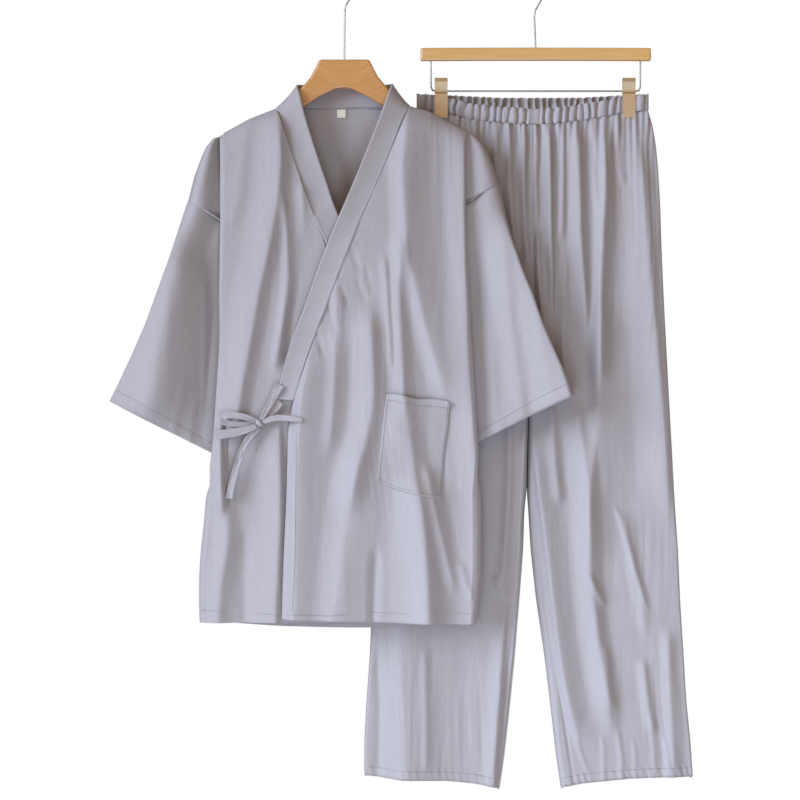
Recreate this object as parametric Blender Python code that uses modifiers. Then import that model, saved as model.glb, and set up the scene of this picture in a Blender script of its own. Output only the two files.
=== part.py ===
"""A cotton kimono pyjama set: a wrap jacket on a shaped wooden hanger, and wide trousers
clipped to a bar hanger behind it. Metres, +Z up, the front facing -Y.

The origin is the crown of the jacket hanger's hook. Tables are in millimetres, one row for
each section or fold, and every cloth panel is a grid laid on its sections, then thickened.
"""

import math

import bmesh
import bpy
import numpy as np

# Walls, seams and wires
CLOTH = 0.0016
BAND_CLOTH = 0.0010
TIE_CLOTH = 0.0012
LABEL_CLOTH = 0.0008
SEAM_GAP = 0.0004
WIRE_RADIUS = 0.00125

# Depths of the jacket, from the plane of its hanger
SIDE_DEPTH = 0.0160
FRONT_CROWN = 0.0060
WRAP_LIFT = 0.0055
BACK_CROWN = 0.0030
HALF_WIDTH = 0.176
FOLD_TURN = 0.0035
FOLD_REACH = 0.0045
SLEEVE_DEPTH = 0.0092
SHOULDER_ROUND = 0.030

# Trousers hang in their own plane behind the jacket
TROUSER_Y = 0.050
CROTCH_Z = -0.535
HIP_DEPTH = 0.0165
WAIST_DEPTH = 0.0095
CLIP_DEPTH = 0.0026
BAND_HEIGHT = 0.022
GATHERS = 112
GATHER_DEPTH = 0.0011

# Hangers
HOOK_RADIUS = 0.0175
HANGER_THICK = 0.014
BAR_LENGTH = 0.332
BAR_HEIGHT = 0.0185
BAR_THICK = 0.012
BAR_BOW = 0.0006
BAR_Z = -0.1155
BAR_X = 0.274
CROSS_WIRE_Z = -0.168
CLIP_WIDTH = 0.0185
CLIP_METAL = 0.0010
CLIP_GRIP = 0.012
CLIP_X = (0.138, 0.408)


def table(names, *rows):
    """Columns of a short table in millimetres, as arrays in metres."""
    columns = np.array(rows, float).T * 0.001
    return dict(zip(names.split(), columns))


# Each side of the body: the fold that shows as its edge, and the piece's real edge, which
# goes out to the shoulder and armhole, then in behind the sleeve, then out to the side seam
LEFT_SIDE = table(
    "fold_x fold_z edge_x edge_z edge_y",
    (-177, -237.0, -188, -243, 0.8),
    (-177, -239.5, -191, -247, 0.8),
    (-177, -246.0, -196, -253, 0.8),
    (-176, -262.0, -202, -266, 0.8),
    (-176, -300.0, -213, -296, 0.8),
    (-176, -351.0, -222, -332, 0.8),
    (-176, -357.0, -169, -361, 11.8),
    (-176, -410.0, -168, -412, 11.8),
    (-177, -460.0, -167, -461, 11.8),
    (-177, -508.0, -165, -510, 11.0),
    (-178, -540.0, -151, -541, 0.8),
    (-181, -600.0, -150, -600, 0.8),
    (-186, -665.0, -150, -665, 0.8),
    (-190, -705.0, -152, -705, 0.8),
    (-193, -728.0, -182, -728, 0.8),
    (-197, -755.0, -197, -755, 0.8),
    (-202, -812.0, -202, -812, 0.8),
    (-206, -870.0, -206, -870, 0.8),
    (-207, -905.0, -207, -905, 0.8),
    (-205, -927.0, -205, -927, 0.8),
)
RIGHT_SIDE = table(
    "fold_x fold_z edge_x edge_z edge_y",
    (173, -231.0, 187, -240, 0.8),
    (173, -233.5, 191, -244, 0.8),
    (173, -240.0, 197, -250, 0.8),
    (172, -256.0, 204, -262, 0.8),
    (172, -290.0, 212, -283, 0.8),
    (172, -332.0, 219, -306, 0.8),
    (172, -338.0, 165, -342, 11.8),
    (173, -395.0, 164, -397, 11.8),
    (176, -450.0, 163, -451, 11.8),
    (178, -500.0, 162, -502, 11.0),
    (181, -535.0, 149, -536, 0.8),
    (185, -600.0, 148, -600, 0.8),
    (187, -655.0, 148, -655, 0.8),
    (189, -690.0, 150, -690, 0.8),
    (191, -715.0, 178, -715, 0.8),
    (193, -745.0, 193, -745, 0.8),
    (194, -800.0, 194, -800, 0.8),
    (195, -855.0, 195, -855, 0.8),
    (191, -895.0, 191, -895, 0.8),
    (187, -930.0, 187, -930, 0.8),
)
# How far each row of a side is tucked behind its fold, from the shoulder to the hem
TUCK = (1, 1, 1, 1, 1, 1, 1, 1, 1, 1, 1, 1, 1, 1, 0.55, 0, 0, 0, 0, 0)

# The neckline seam and front edge of each front, against the height of its fold
UNDER_EDGE = table(
    "fold_z x z",
    (-237, -96, -198),
    (-300, -77, -254),
    (-351, -60, -305),
    (-410, -44, -347),
    (-460, -28, -388),
    (-540, 4, -480),
    (-600, 33, -560),
    (-665, 59, -640),
    (-755, 64, -745),
    (-927, 64, -927),
)
WRAP_EDGE = table(
    "fold_z x z",
    (-231, 92, -197),
    (-290, 67, -258),
    (-338, 45, -309),
    (-395, 22, -362),
    (-450, -1, -418),
    (-500, -27, -487),
    (-535, -45, -535),
    (-600, -70, -606),
    (-655, -79, -655),
    (-745, -81, -745),
    (-855, -86, -848),
    (-930, -88, -922),
)
SHOULDER = table(
    "x z",
    (-188, -243),
    (-177, -236.5),
    (-134, -213),
    (-96, -198),
    (-60, -197),
    (57, -197),
    (92, -195),
    (121, -203),
    (173, -230),
    (187, -240),
)

# Folds: where each starts and ends, how wide it is, and how far it stands out (or sinks)
WRAP_FOLDS = table(
    "x_top z_top x_low z_low width depth",
    (93, -215, 80, -400, 20, 3.5),
    (112, -215, 98, -470, 20, -3.5),
    (128, -215, 150, -400, 22, 3.0),
    (60, -330, 34, -640, 24, 2.5),
    (24, -560, -26, -960, 22, 4.0),
    (48, -640, 10, -960, 20, -3.5),
    (92, -640, 84, -960, 34, 4.0),
    (112, -560, 158, -960, 24, -4.0),
    (174, -560, 176, -960, 22, 3.0),
    (-48, -640, -46, -960, 26, -2.0),
)
UNDER_FOLDS = table(
    "x_top z_top x_low z_low width depth",
    (-104, -215, -166, -640, 34, 4.0),
    (-88, -300, -142, -640, 22, -4.5),
    (-84, -330, -112, -620, 18, 3.0),
    (-66, -400, -94, -600, 16, -3.0),
    (-164, -640, -166, -800, 18, -6.0),
    (-182, -640, -190, -960, 22, 3.0),
    (-142, -700, -136, -960, 24, -3.0),
    (-116, -620, -108, -960, 24, 4.0),
)
BACK_FOLDS = table(
    "x_top z_top x_low z_low width depth",
    (-128, -240, -140, -620, 34, 3.5),
    (-92, -260, -92, -700, 30, -3.0),
    (-30, -230, -40, -960, 44, 3.0),
    (22, -300, 26, -960, 36, -3.0),
    (80, -260, 96, -960, 40, 3.5),
    (132, -260, 148, -700, 30, -3.0),
    (-150, -700, -156, -960, 34, 3.5),
    (-100, -700, -98, -960, 30, -3.0),
    (150, -700, 158, -960, 30, 3.0),
)
LEFT_SLEEVE_FOLDS = table(
    "x_top z_top x_low z_low width depth",
    (-196, -360, -202, -720, 20, -3.0),
    (-204, -360, -250, -720, 24, 2.5),
    (-215, -380, -300, -700, 24, -2.0),
)
RIGHT_SLEEVE_FOLDS = table(
    "x_top z_top x_low z_low width depth",
    (192, -340, 200, -700, 20, -3.0),
    (202, -350, 240, -700, 24, 2.5),
    (214, -360, 280, -680, 24, -2.0),
)

# The neckband: its free edge and its seam, from the covered end round the neck to the tie
NECKBAND = table(
    "free_x free_z free_y seam_x seam_z seam_y",
    (94, -612, -17.0, 61, -619, -17.0),
    (62, -526, -17.5, 30, -537, -17.5),
    (32, -446, -18.0, 0, -457, -18.0),
    (8, -384, -18.5, -24, -394, -18.5),
    (-12, -342, -19.0, -43, -351, -19.0),
    (-25, -304, -19.0, -57, -313, -19.0),
    (-41, -257, -18.5, -74, -266, -18.5),
    (-55, -212, -17.0, -88, -222, -17.0),
    (-63, -180, -13.0, -95, -203, -12.0),
    (-67, -167, -6.0, -95.5, -197.5, -5.0),
    (-67, -164, 2.0, -95, -197, 2.0),
    (-64, -163.5, 10.0, -90, -196.5, 12.5),
    (-50, -163, 15.0, -62, -196.7, 18.2),
    (-26, -163, 17.5, -31, -196.7, 18.9),
    (0, -163, 18.0, 0, -196.7, 19.0),
    (26, -163, 17.5, 29, -196.7, 18.9),
    (50, -163, 15.0, 60, -196.5, 18.2),
    (63, -163, 10.0, 87, -195, 12.5),
    (67, -163.5, 2.0, 91, -194, 2.0),
    (66, -166, -6.0, 91, -195, -5.0),
    (61, -180, -13.0, 90, -202, -12.0),
    (53, -204, -17.5, 83, -217, -17.5),
    (37, -246, -21.5, 66.5, -259, -21.5),
    (16, -298, -24.5, 45.5, -309, -24.5),
    (-8, -354, -26.5, 21, -363, -26.5),
    (-32, -413, -27.0, -2, -420, -27.0),
    (-57, -483, -27.0, -28, -488, -27.0),
    (-76, -534, -26.5, -46.5, -537, -26.5),
    (-97, -610, -26.0, -71.5, -613, -26.0),
)

# The pocket's corners on the wrapped front, and its columns and rows
POCKET = table("x z", (62, -604), (149, -613), (136, -751), (46, -726))
POCKET_GRID = (8, 8)

# The ties: a row for each place along a strip, with its width and how it leans
TIE_COLLAR = table(
    "x z y wide",
    (-93, -596, -28.3, 12),
    (-102, -612, -28.8, 10),
    (-110, -627, -30.0, 8),
    (-116, -638, -31.5, 5),
)
TIE_ARM = table(
    "x z y wide",
    (-112.5, -642, -34.0, 7),
    (-98, -638, -31.5, 8),
    (-80, -637, -31.0, 8),
    (-57, -640, -31.5, 7),
)
TIE_LOOP = table(
    "x z y wide",
    (-126.6, -640.5, -34.0, 7),
    (-142, -635, -35.0, 9),
    (-158, -632, -34.5, 10),
    (-167, -633, -33.0, 10),
    (-170, -638, -30.5, 9),
    (-166, -643, -28.5, 8),
    (-152, -645, -29.0, 8),
    (-126.8, -645.5, -30.5, 6),
)
TIE_TAIL = table(
    "x z y wide",
    (-125.3, -649.2, -35.0, 5),
    (-142, -655, -34.5, 10),
    (-162, -658, -34.5, 12),
    (-181, -662, -33.5, 13),
)
TIE_DROP = table(
    "x z y wide",
    (-120, -654.5, -31.5, 8),
    (-135, -667, -30.5, 10),
    (-147, -692, -29.5, 11),
    (-156, -722, -29.5, 11),
    (-162, -752, -30.0, 11),
)
TIE_SIDE = table(
    "x z y wide",
    (-112.6, -640.4, -29.3, 6),
    (-104, -630, -27.2, 10),
    (-95, -620, -24.9, 12),
    (-88, -612, -23.9, 12),
)
KNOT = (-0.1195, -0.0325, -0.6445)
KNOT_SIZE = (0.0145, 0.0105, 0.0140)

# Trousers, the leg at the viewer's left and the one at the right: seam and outer edge
LEFT_LEG = table(
    "z inner outer",
    (-200, 268.7, 104.5),
    (-222, 268.7, 99),
    (-262, 269.2, 93),
    (-320, 270.0, 86),
    (-390, 271.5, 78),
    (-460, 272.5, 70),
    (-535, 272.0, 62),
    (-612, 263.0, 56),
    (-684, 259.0, 51),
    (-757, 257.0, 46),
    (-828, 255.5, 42),
    (-900, 250.0, 39),
    (-979, 243.5, 36),
    (-1050, 236.0, 31),
    (-1110, 229.0, 28),
    (-1158, 222.0, 28),
)
RIGHT_LEG = table(
    "z inner outer",
    (-200, 269.3, 434.5),
    (-222, 269.3, 442),
    (-262, 269.8, 448),
    (-320, 270.6, 452),
    (-390, 272.1, 454),
    (-460, 273.1, 457),
    (-535, 273.5, 461),
    (-612, 266.0, 465),
    (-684, 262.5, 469),
    (-757, 262.0, 473),
    (-828, 267.0, 478),
    (-900, 275.0, 481),
    (-979, 287.0, 486),
    (-1050, 296.0, 490),
    (-1110, 303.0, 496),
    (-1158, 310.0, 499),
)
TROUSER_HEM = table(
    "x z",
    (28, -1149),
    (80, -1155),
    (146, -1157),
    (184, -1161),
    (222, -1168),
    (266, -1170),
    (310, -1167),
    (340, -1161),
    (409, -1154),
    (499, -1151),
)
BAND_TOP_FRONT = table(
    "x z",
    (103, -173),
    (151, -179),
    (179, -187),
    (223, -192),
    (270, -195),
    (309, -193),
    (366, -184),
    (396, -178),
    (436, -173),
)
BAND_TOP_BACK = table(
    "x z", (103, -172), (151, -174), (223, -177), (339, -177), (398, -174), (436, -172)
)
LEG_FOLDS = table(
    "x_top z_top x_low z_low width depth",
    (396, -205, 396, -720, 20, -5.0),
    (350, -205, 352, -480, 13, -4.0),
    (308, -205, 318, -420, 13, -3.5),
    (372, -205, 372, -520, 13, 3.0),
    (328, -205, 334, -560, 14, 3.0),
    (420, -205, 434, -760, 18, 3.5),
    (330, -560, 350, -960, 22, 4.0),
    (304, -560, 322, -960, 18, -4.5),
    (356, -840, 392, -1200, 22, -3.0),
    (430, -760, 446, -1200, 26, 3.0),
    (384, -720, 420, -1200, 22, 3.0),
    (252, -205, 240, -480, 13, -3.0),
    (232, -205, 214, -520, 14, 3.0),
    (210, -205, 190, -520, 14, -3.0),
    (184, -205, 160, -560, 16, 3.0),
    (226, -560, 214, -960, 18, -4.0),
    (190, -560, 180, -1200, 24, 3.5),
    (150, -640, 140, -1200, 24, -3.0),
    (100, -640, 86, -1200, 28, 3.0),
)

# The shaped hanger's outline, along its top from the left arm's end to the right's
HANGER_TOP = table(
    "x z",
    (-172, -240),
    (-169, -236),
    (-134, -217.5),
    (-96, -202),
    (-80, -184),
    (-61, -169),
    (-49, -155),
    (-41, -140),
    (-37, -131.5),
    (-33, -129),
    (33, -129),
    (37, -131.5),
    (41, -140),
    (49, -155),
    (62, -170),
    (79, -184),
    (92, -199),
    (121, -209),
    (160, -228),
    (167, -232),
    (170, -236),
)
HANGER_LOW = table(
    "x z",
    (168, -243),
    (150, -238),
    (110, -221),
    (56, -195),
    (30, -180),
    (10, -170.5),
    (0, -169),
    (-12, -170.5),
    (-34, -181),
    (-60, -197),
    (-112, -223),
    (-150, -240),
    (-170, -247),
)

# Colours, as linear values
CLOTH_COLOUR = (0.35, 0.34, 0.39, 1.0)
WOOD_COLOUR = (0.58, 0.32, 0.12, 1.0)
WIRE_COLOUR = (0.52, 0.47, 0.40, 1.0)
CLIP_COLOUR = (0.46, 0.38, 0.28, 1.0)
LABEL_COLOUR = (0.78, 0.74, 0.64, 1.0)


def material(name, colour, roughness, metallic=0.0):
    """A plain surface of one colour."""
    found = bpy.data.materials.new(name)
    found.use_nodes = True
    shader = found.node_tree.nodes["Principled BSDF"]
    shader.inputs["Base Color"].default_value = colour
    shader.inputs["Roughness"].default_value = roughness
    shader.inputs["Metallic"].default_value = metallic
    return found


def smooth(value):
    """An even step from 0 to 1."""
    value = np.clip(value, 0.0, 1.0)
    return value * value * (3.0 - 2.0 * value)


def relief(folds, x, z):
    """How far the folds of a table bring the cloth out at a place."""
    total = 0.0
    for k in range(len(folds["depth"])):
        span = folds["z_top"][k] - folds["z_low"][k]
        along = (folds["z_top"][k] - z) / span
        if along <= 0.0 or along >= 1.0:
            continue
        middle = folds["x_top"][k] + (folds["x_low"][k] - folds["x_top"][k]) * along
        away = (x - middle) / folds["width"][k]
        if abs(away) < 1.0:
            fade = smooth(along / 0.2) * smooth((1.0 - along) / 0.2)
            total += folds["depth"][k] * fade * (1.0 - away * away) ** 2
    return total


def shoulder_rise(x, z):
    """0 on the shoulder line, 1 where the cloth hangs clear of the hanger's round."""
    below = np.interp(x, SHOULDER["x"], SHOULDER["z"]) - z
    part = np.clip(below / SHOULDER_ROUND, 0.0, 1.0)
    return math.sqrt(max(1.0 - (1.0 - part) ** 2, 0.0))


def crown(x, rise):
    """The depth of the body across its width, fullest at the middle."""
    return SIDE_DEPTH + rise * max(1.0 - (x / HALF_WIDTH) ** 2, 0.0)


def under_depth(x, z):
    """The covered front: flat where the other front wraps over it."""
    covered = smooth((x + 0.105) / 0.050) * smooth((-0.32 - z) / 0.08)
    depth = crown(x, FRONT_CROWN) + relief(UNDER_FOLDS, x, z)
    return depth * (1.0 - covered) + (SIDE_DEPTH + 0.0008) * covered


def wrap_depth(x, z):
    """The front that wraps over, lifted clear of the one it covers."""
    lift = WRAP_LIFT * smooth((0.125 - x) / 0.055) * smooth((-0.20 - z) / 0.12)
    return crown(x, FRONT_CROWN) + lift + relief(WRAP_FOLDS, x, z)


def back_depth(x, z):
    """The back, nearly flat."""
    return crown(x, BACK_CROWN) + relief(BACK_FOLDS, x, z)


def add_sheet(name, rows, wall, skin, closed=False):
    """A cloth piece: a grid primitive laid on rows of points, then given its thickness."""
    rows = np.array(rows, float)
    if closed:
        rows = np.concatenate([rows, rows[:, :1]], axis=1)
    down, across = rows.shape[0] - 1, rows.shape[1] - 1
    shape = bmesh.new()
    bmesh.ops.create_grid(shape, x_segments=across, y_segments=down, size=1.0)
    for point in shape.verts:
        i = round((point.co.x + 1.0) * 0.5 * across)
        j = round((1.0 - point.co.y) * 0.5 * down)
        point.co = rows[j][i]
    if closed:
        bmesh.ops.remove_doubles(shape, verts=shape.verts, dist=1e-6)
    mesh = bpy.data.meshes.new(name)
    shape.to_mesh(mesh)
    shape.free()
    mesh.shade_smooth()
    piece = bpy.data.objects.new(name, mesh)
    piece.data.materials.append(skin)
    thicken = piece.modifiers.new("wall", "SOLIDIFY")
    thicken.thickness = wall
    thicken.offset = 0.0
    GARMENT.objects.link(piece)
    return piece


def side_points(side, row, face, depth):
    """The end of a body row: round its fold, then behind it to the piece's real edge."""
    out = math.copysign(1.0, side["fold_x"][row])
    fold_x, fold_z = side["fold_x"][row], side["fold_z"][row]
    rise = shoulder_rise(fold_x * 0.98, fold_z)
    depth = depth * max(rise, 0.05)
    turn = FOLD_TURN * rise
    edge = np.array([side["edge_x"][row], side["edge_z"][row], side["edge_y"][row]])
    under = np.array([fold_x - out * FOLD_REACH, fold_z, depth - turn])
    tucked = [
        (fold_x - out * FOLD_REACH, fold_z, depth),
        (fold_x - out * 0.0006, fold_z, depth - turn * 0.2),
        (fold_x - out * 0.0006, fold_z, depth - turn * 0.8),
        tuple(under),
    ]
    for k in (1, 2, 3):
        part = k / 3.0
        bend = math.sqrt(1.0 - part**4)
        x, z = under[:2] + (edge[:2] - under[:2]) * part
        tucked.append((x, z, edge[2] + (under[2] - edge[2]) * bend))
    plain = []
    for k in range(7):
        angle = 0.5 * math.pi * k / 6.0
        x = fold_x - out * 0.010 * (1.0 - math.sin(angle))
        plain.append((x, fold_z, edge[2] + (depth - edge[2]) * math.cos(angle)))
    tuck = TUCK[row]
    mixed = np.array(tucked) * tuck + np.array(plain) * (1.0 - tuck)
    return [(x, face * y, z) for x, z, y in mixed]


def front_rows(side, edge, depth_at, columns):
    """Rows of a front, from its neckline or front edge out to its side."""
    rows = []
    for row, fold_z in enumerate(side["fold_z"]):
        ends = side_points(side, row, -1.0, depth_at(side["fold_x"][row], fold_z))
        start_x = np.interp(-fold_z, -edge["fold_z"], edge["x"])
        start_z = np.interp(-fold_z, -edge["fold_z"], edge["z"])
        points = []
        for k in range(columns):
            part = k / columns
            x = start_x + (ends[0][0] - start_x) * part
            z = start_z + (ends[0][2] - start_z) * part
            if row == 0:
                z = np.interp(x, SHOULDER["x"], SHOULDER["z"])
            elif row <= 2:
                top = np.interp(x, SHOULDER["x"], SHOULDER["z"])
                z = min(z, top - (0.0022, 0.0085)[row - 1])
            near = max(shoulder_rise(x, z), 0.04)
            points.append((x, -near * depth_at(x, z), z))
        rows.append(points + ends)
    return rows


def back_rows(columns):
    """Rows of the back, from one side to the other under the neck seam."""
    rows = []
    for row, left_z in enumerate(LEFT_SIDE["fold_z"]):
        right_z = RIGHT_SIDE["fold_z"][row]
        left = side_points(LEFT_SIDE, row, 1.0, back_depth(LEFT_SIDE["fold_x"][row], left_z))
        right = side_points(
            RIGHT_SIDE, row, 1.0, back_depth(RIGHT_SIDE["fold_x"][row], right_z)
        )
        points = []
        for k in range(1, columns):
            part = k / columns
            x = left[0][0] + (right[0][0] - left[0][0]) * part
            top = np.interp(x, SHOULDER["x"], SHOULDER["z"])
            depth_below = row / (len(LEFT_SIDE["fold_z"]) - 1.0)
            level = left_z + (right_z - left_z) * part
            arch = smooth(1.0 - (LEFT_SIDE["fold_z"][0] - left_z) / 0.20)
            z = level + (top - np.interp(part, (0, 1), (-0.237, -0.231))) * arch
            z -= 0.008 * math.sin(math.pi * part) * depth_below
            neck = 1.0 - smooth((abs(x) - 0.088) / 0.014)
            near = max(shoulder_rise(x, z), 0.04, neck)
            points.append((x, near * back_depth(x, z), z))
        rows.append(left[::-1] + points + right)
    return rows


def edge_patch(top, low, outer, inner, across, down):
    """Places inside four edges that meet at the corners, each a list of (x, z)."""

    def on(edge, part):
        edge = np.array(edge, float)
        steps = np.linalg.norm(np.diff(edge, axis=0), axis=1)
        far = np.concatenate([[0.0], np.cumsum(steps)]) / steps.sum()
        return np.array([np.interp(part, far, edge[:, 0]), np.interp(part, far, edge[:, 1])])

    places = []
    for t in down:
        row = []
        for s in across:
            flat = (1 - t) * on(top, s) + t * on(low, s)
            flat += (1 - s) * on(outer, t) + s * on(inner, t)
            flat -= (1 - s) * ((1 - t) * on(top, 0) + t * on(low, 0))
            flat -= s * ((1 - t) * on(top, 1) + t * on(low, 1))
            row.append(flat)
        places.append(row)
    return places


def sleeve_rows(side, outline, cuff_end, folds):
    """Rows of a sleeve tube, from the armhole to the cuff, front and then back."""
    out = math.copysign(1.0, side["fold_x"][0])
    gap = SEAM_GAP + 0.0002
    corner = (side["edge_x"][5] + out * gap * 0.5, side["edge_z"][5] - gap)
    turn = (side["fold_x"][5] + out * 0.0035, side["fold_z"][5] - 0.0045)
    armhole = [corner, turn]
    for row in (7, 8, 9):
        armhole.append((side["edge_x"][row] + out * gap * 2.0, side["edge_z"][row] - gap))
    outer = [corner] + outline
    cuff = [outline[-1], cuff_end]
    inner = [armhole[-1], cuff_end]
    across = (0, 0.012, 0.05, 0.13, 0.24, 0.36, 0.48, 0.60, 0.72, 0.83, 0.92, 0.975, 1)
    down = (0, 0.10, 0.25, 0.42, 0.60, 0.80, 1)
    places = edge_patch(armhole, cuff, outer, inner, across, down)
    rows = []
    for places_row in places:
        front, back = [], []
        for s, (x, z) in zip(across, places_row):
            near = min(s, 1.0 - s) / 0.10
            round_off = math.sqrt(max(1.0 - max(1.0 - near, 0.0) ** 2, 0.0))
            room = smooth((abs(x) - 0.186) / 0.020)
            depth = SLEEVE_DEPTH * round_off
            front.append((x, -depth - room * round_off * relief(folds, x, z), z))
            back.append((x, depth + room * round_off * relief(folds, x + 0.012, z), z))
        rows.append(front + back[-2:0:-1])
    return rows


def strip_rows(strip):
    """Rows along a flat tie, its width square to its run."""
    centre = np.stack([strip["x"], strip["y"], strip["z"]], axis=1)
    rows = []
    for k, place in enumerate(centre):
        run = centre[min(k + 1, len(centre) - 1)] - centre[max(k - 1, 0)]
        side = np.cross(run, (0.0, 1.0, 0.0))
        side /= np.linalg.norm(side)
        rows.append([place + side * strip["wide"][k] * part for part in (-0.5, 0.0, 0.5)])
    return rows


def neckband_rows():
    """Rows across the neckband, from its free edge to its seam."""
    rows = []
    for k in range(len(NECKBAND["free_x"])):
        free = np.array([NECKBAND["free_" + axis][k] for axis in "xyz"])
        seam = np.array([NECKBAND["seam_" + axis][k] for axis in "xyz"])
        seam += (free - seam) / np.linalg.norm(free - seam) * SEAM_GAP * 2.5
        rows.append([free, (free + seam) * 0.5, seam])
    return rows


def pocket_rows():
    """Rows of the patch pocket, laid on the wrapped front and moved out."""
    across, down = POCKET_GRID
    corners = list(zip(POCKET["x"], POCKET["z"]))
    sides = [
        [corners[0], corners[1]],
        [corners[3], corners[2]],
        [corners[0], corners[3]],
        [corners[1], corners[2]],
    ]
    places = edge_patch(*sides, np.linspace(0, 1, across), np.linspace(0, 1, down))
    out = CLOTH + SEAM_GAP + 0.0012
    rows = []
    for row, places_row in enumerate(places):
        mouth = 0.002 * max(0.0, 1.0 - row / 1.5)
        rows.append([(x, -wrap_depth(x, z) - out - mouth, z) for x, z in places_row])
    return rows


def waist_half_depth(x):
    """Half the waistband's depth: pinched at the clips and full between them."""
    inside = (x - CLIP_X[0] - CLIP_GRIP) / (CLIP_X[1] - CLIP_X[0] - 2.0 * CLIP_GRIP)
    full = max(math.sin(math.pi * np.clip(inside, 0.0, 1.0)), 0.0) ** 0.7
    return CLIP_DEPTH + (WAIST_DEPTH - CLIP_DEPTH) * full


def waistband_rows():
    """Rows round the gathered waistband: two points for each gather, in and out."""
    left, right = BAND_TOP_FRONT["x"][0], BAND_TOP_FRONT["x"][-1]
    count = GATHERS * 2
    half = count // 2
    rows = []
    for level in (0.0, 1.0):
        points = []
        for k in range(count):
            front = k < half
            part = (k % half) / half if front else 1.0 - (k % half) / half
            x = left + (right - left) * part
            end = min(part, 1.0 - part) * (right - left) / 0.006
            closing = math.sqrt(max(1.0 - max(1.0 - end, 0.0) ** 2, 0.0))
            top = BAND_TOP_FRONT if front else BAND_TOP_BACK
            z = np.interp(x, top["x"], top["z"]) - (BAND_HEIGHT - SEAM_GAP) * level
            held = min(abs(x - CLIP_X[0]), abs(x - CLIP_X[1]))
            loose = 0.25 + 0.75 * smooth((held - 0.009) / 0.008)
            wave = GATHER_DEPTH * loose * (1 if k % 2 else -1) * min(1.0, end)
            depth = waist_half_depth(x) * closing + wave
            points.append((x, TROUSER_Y + (-depth if front else depth), z))
        rows.append(points)
    return rows


def leg_rows(leg, face, columns):
    """Rows of a trouser panel, from its centre seam or inseam to its side seam."""
    top_table = BAND_TOP_FRONT if face < 0 else BAND_TOP_BACK
    last = len(leg["z"]) - 1
    rows = []
    for row, level in enumerate(leg["z"]):
        inner, outer = leg["inner"][row], leg["outer"][row]
        points = []
        for k in range(columns + 1):
            part = 0.5 - 0.5 * math.cos(math.pi * k / columns)
            part = 0.35 * part + 0.65 * k / columns
            x = inner + (outer - inner) * part
            seam = np.interp(x, top_table["x"], top_table["z"]) - BAND_HEIGHT - SEAM_GAP
            arch = smooth(1.0 - (leg["z"][0] - level) / 0.12)
            hang = smooth((level + 0.900) / -0.258)
            hem = np.interp(x, TROUSER_HEM["x"], TROUSER_HEM["z"])
            z = level + (seam - leg["z"][0]) * arch + (hem - leg["z"][last]) * hang
            z -= 0.004 * hang * (face > 0)
            to_inseam = smooth((CROTCH_Z + 0.060 - level) / 0.090)
            edge_out = min((1.0 - part) / 0.16, 1.0)
            edge_in = min(part / 0.16, 1.0)
            round_out = math.sqrt(max(1.0 - (1.0 - edge_out) ** 2, 0.0))
            round_in = math.sqrt(max(1.0 - (1.0 - edge_in) ** 2, 0.0))
            round_in = 1.0 - to_inseam * (1.0 - round_in)
            grow = smooth((leg["z"][0] - level) / 0.16)
            depth = waist_half_depth(x) * (1.0 - grow) + HIP_DEPTH * grow
            folded = relief(LEG_FOLDS, x if face < 0 else x + 0.015, z)
            depth = max((depth + folded) * round_out * round_in, SEAM_GAP * 2.4)
            points.append((x, TROUSER_Y + face * depth, z))
        rows.append(points)
    return rows


def add_wire(name, points, skin):
    """A wire: a poly curve with a round section and filled ends."""
    curve = bpy.data.curves.new(name, "CURVE")
    curve.dimensions = "3D"
    curve.bevel_depth = WIRE_RADIUS
    curve.bevel_resolution = 2
    curve.use_fill_caps = True
    line = curve.splines.new("POLY")
    line.points.add(len(points) - 1)
    for target, (x, y, z) in zip(line.points, points):
        target.co = (x, y, z, 1.0)
    curve.materials.append(skin)
    wire = bpy.data.objects.new(name, curve)
    GARMENT.objects.link(wire)
    return wire


def hook_points(stem_x, y, foot_z, lean=0.0):
    """A hanger hook: a stem that bends right, then round over the rail to its tip."""
    radius = HOOK_RADIUS + WIRE_RADIUS
    centre_z = -HOOK_RADIUS
    points = [
        (stem_x + lean, y, foot_z),
        (stem_x + 0.0006, y, -0.060),
        (stem_x + 0.0022, y, -0.051),
        (stem_x + 0.0068, y, -0.0435),
    ]
    for k in range(15):
        angle = math.radians(-42.0 + 262.0 * k / 14.0)
        points.append((stem_x + radius * math.cos(angle), y, centre_z + radius * math.sin(angle)))
    return points


def add_flat(name, outline, thick, round_edge, skin):
    """A flat board cut to an outline in the XZ plane, its edges rounded."""
    curve = bpy.data.curves.new(name, "CURVE")
    curve.dimensions = "2D"
    curve.fill_mode = "BOTH"
    curve.extrude = thick * 0.5 - round_edge
    curve.bevel_depth = round_edge
    curve.bevel_resolution = 1
    curve.offset = -round_edge
    line = curve.splines.new("POLY")
    line.points.add(len(outline) - 1)
    line.use_cyclic_u = True
    for target, (x, z) in zip(line.points, outline):
        target.co = (x, z, 0.0, 1.0)
    curve.materials.append(skin)
    board = bpy.data.objects.new(name, curve)
    board.rotation_euler = (math.radians(90.0), 0.0, 0.0)
    GARMENT.objects.link(board)
    return board


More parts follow.
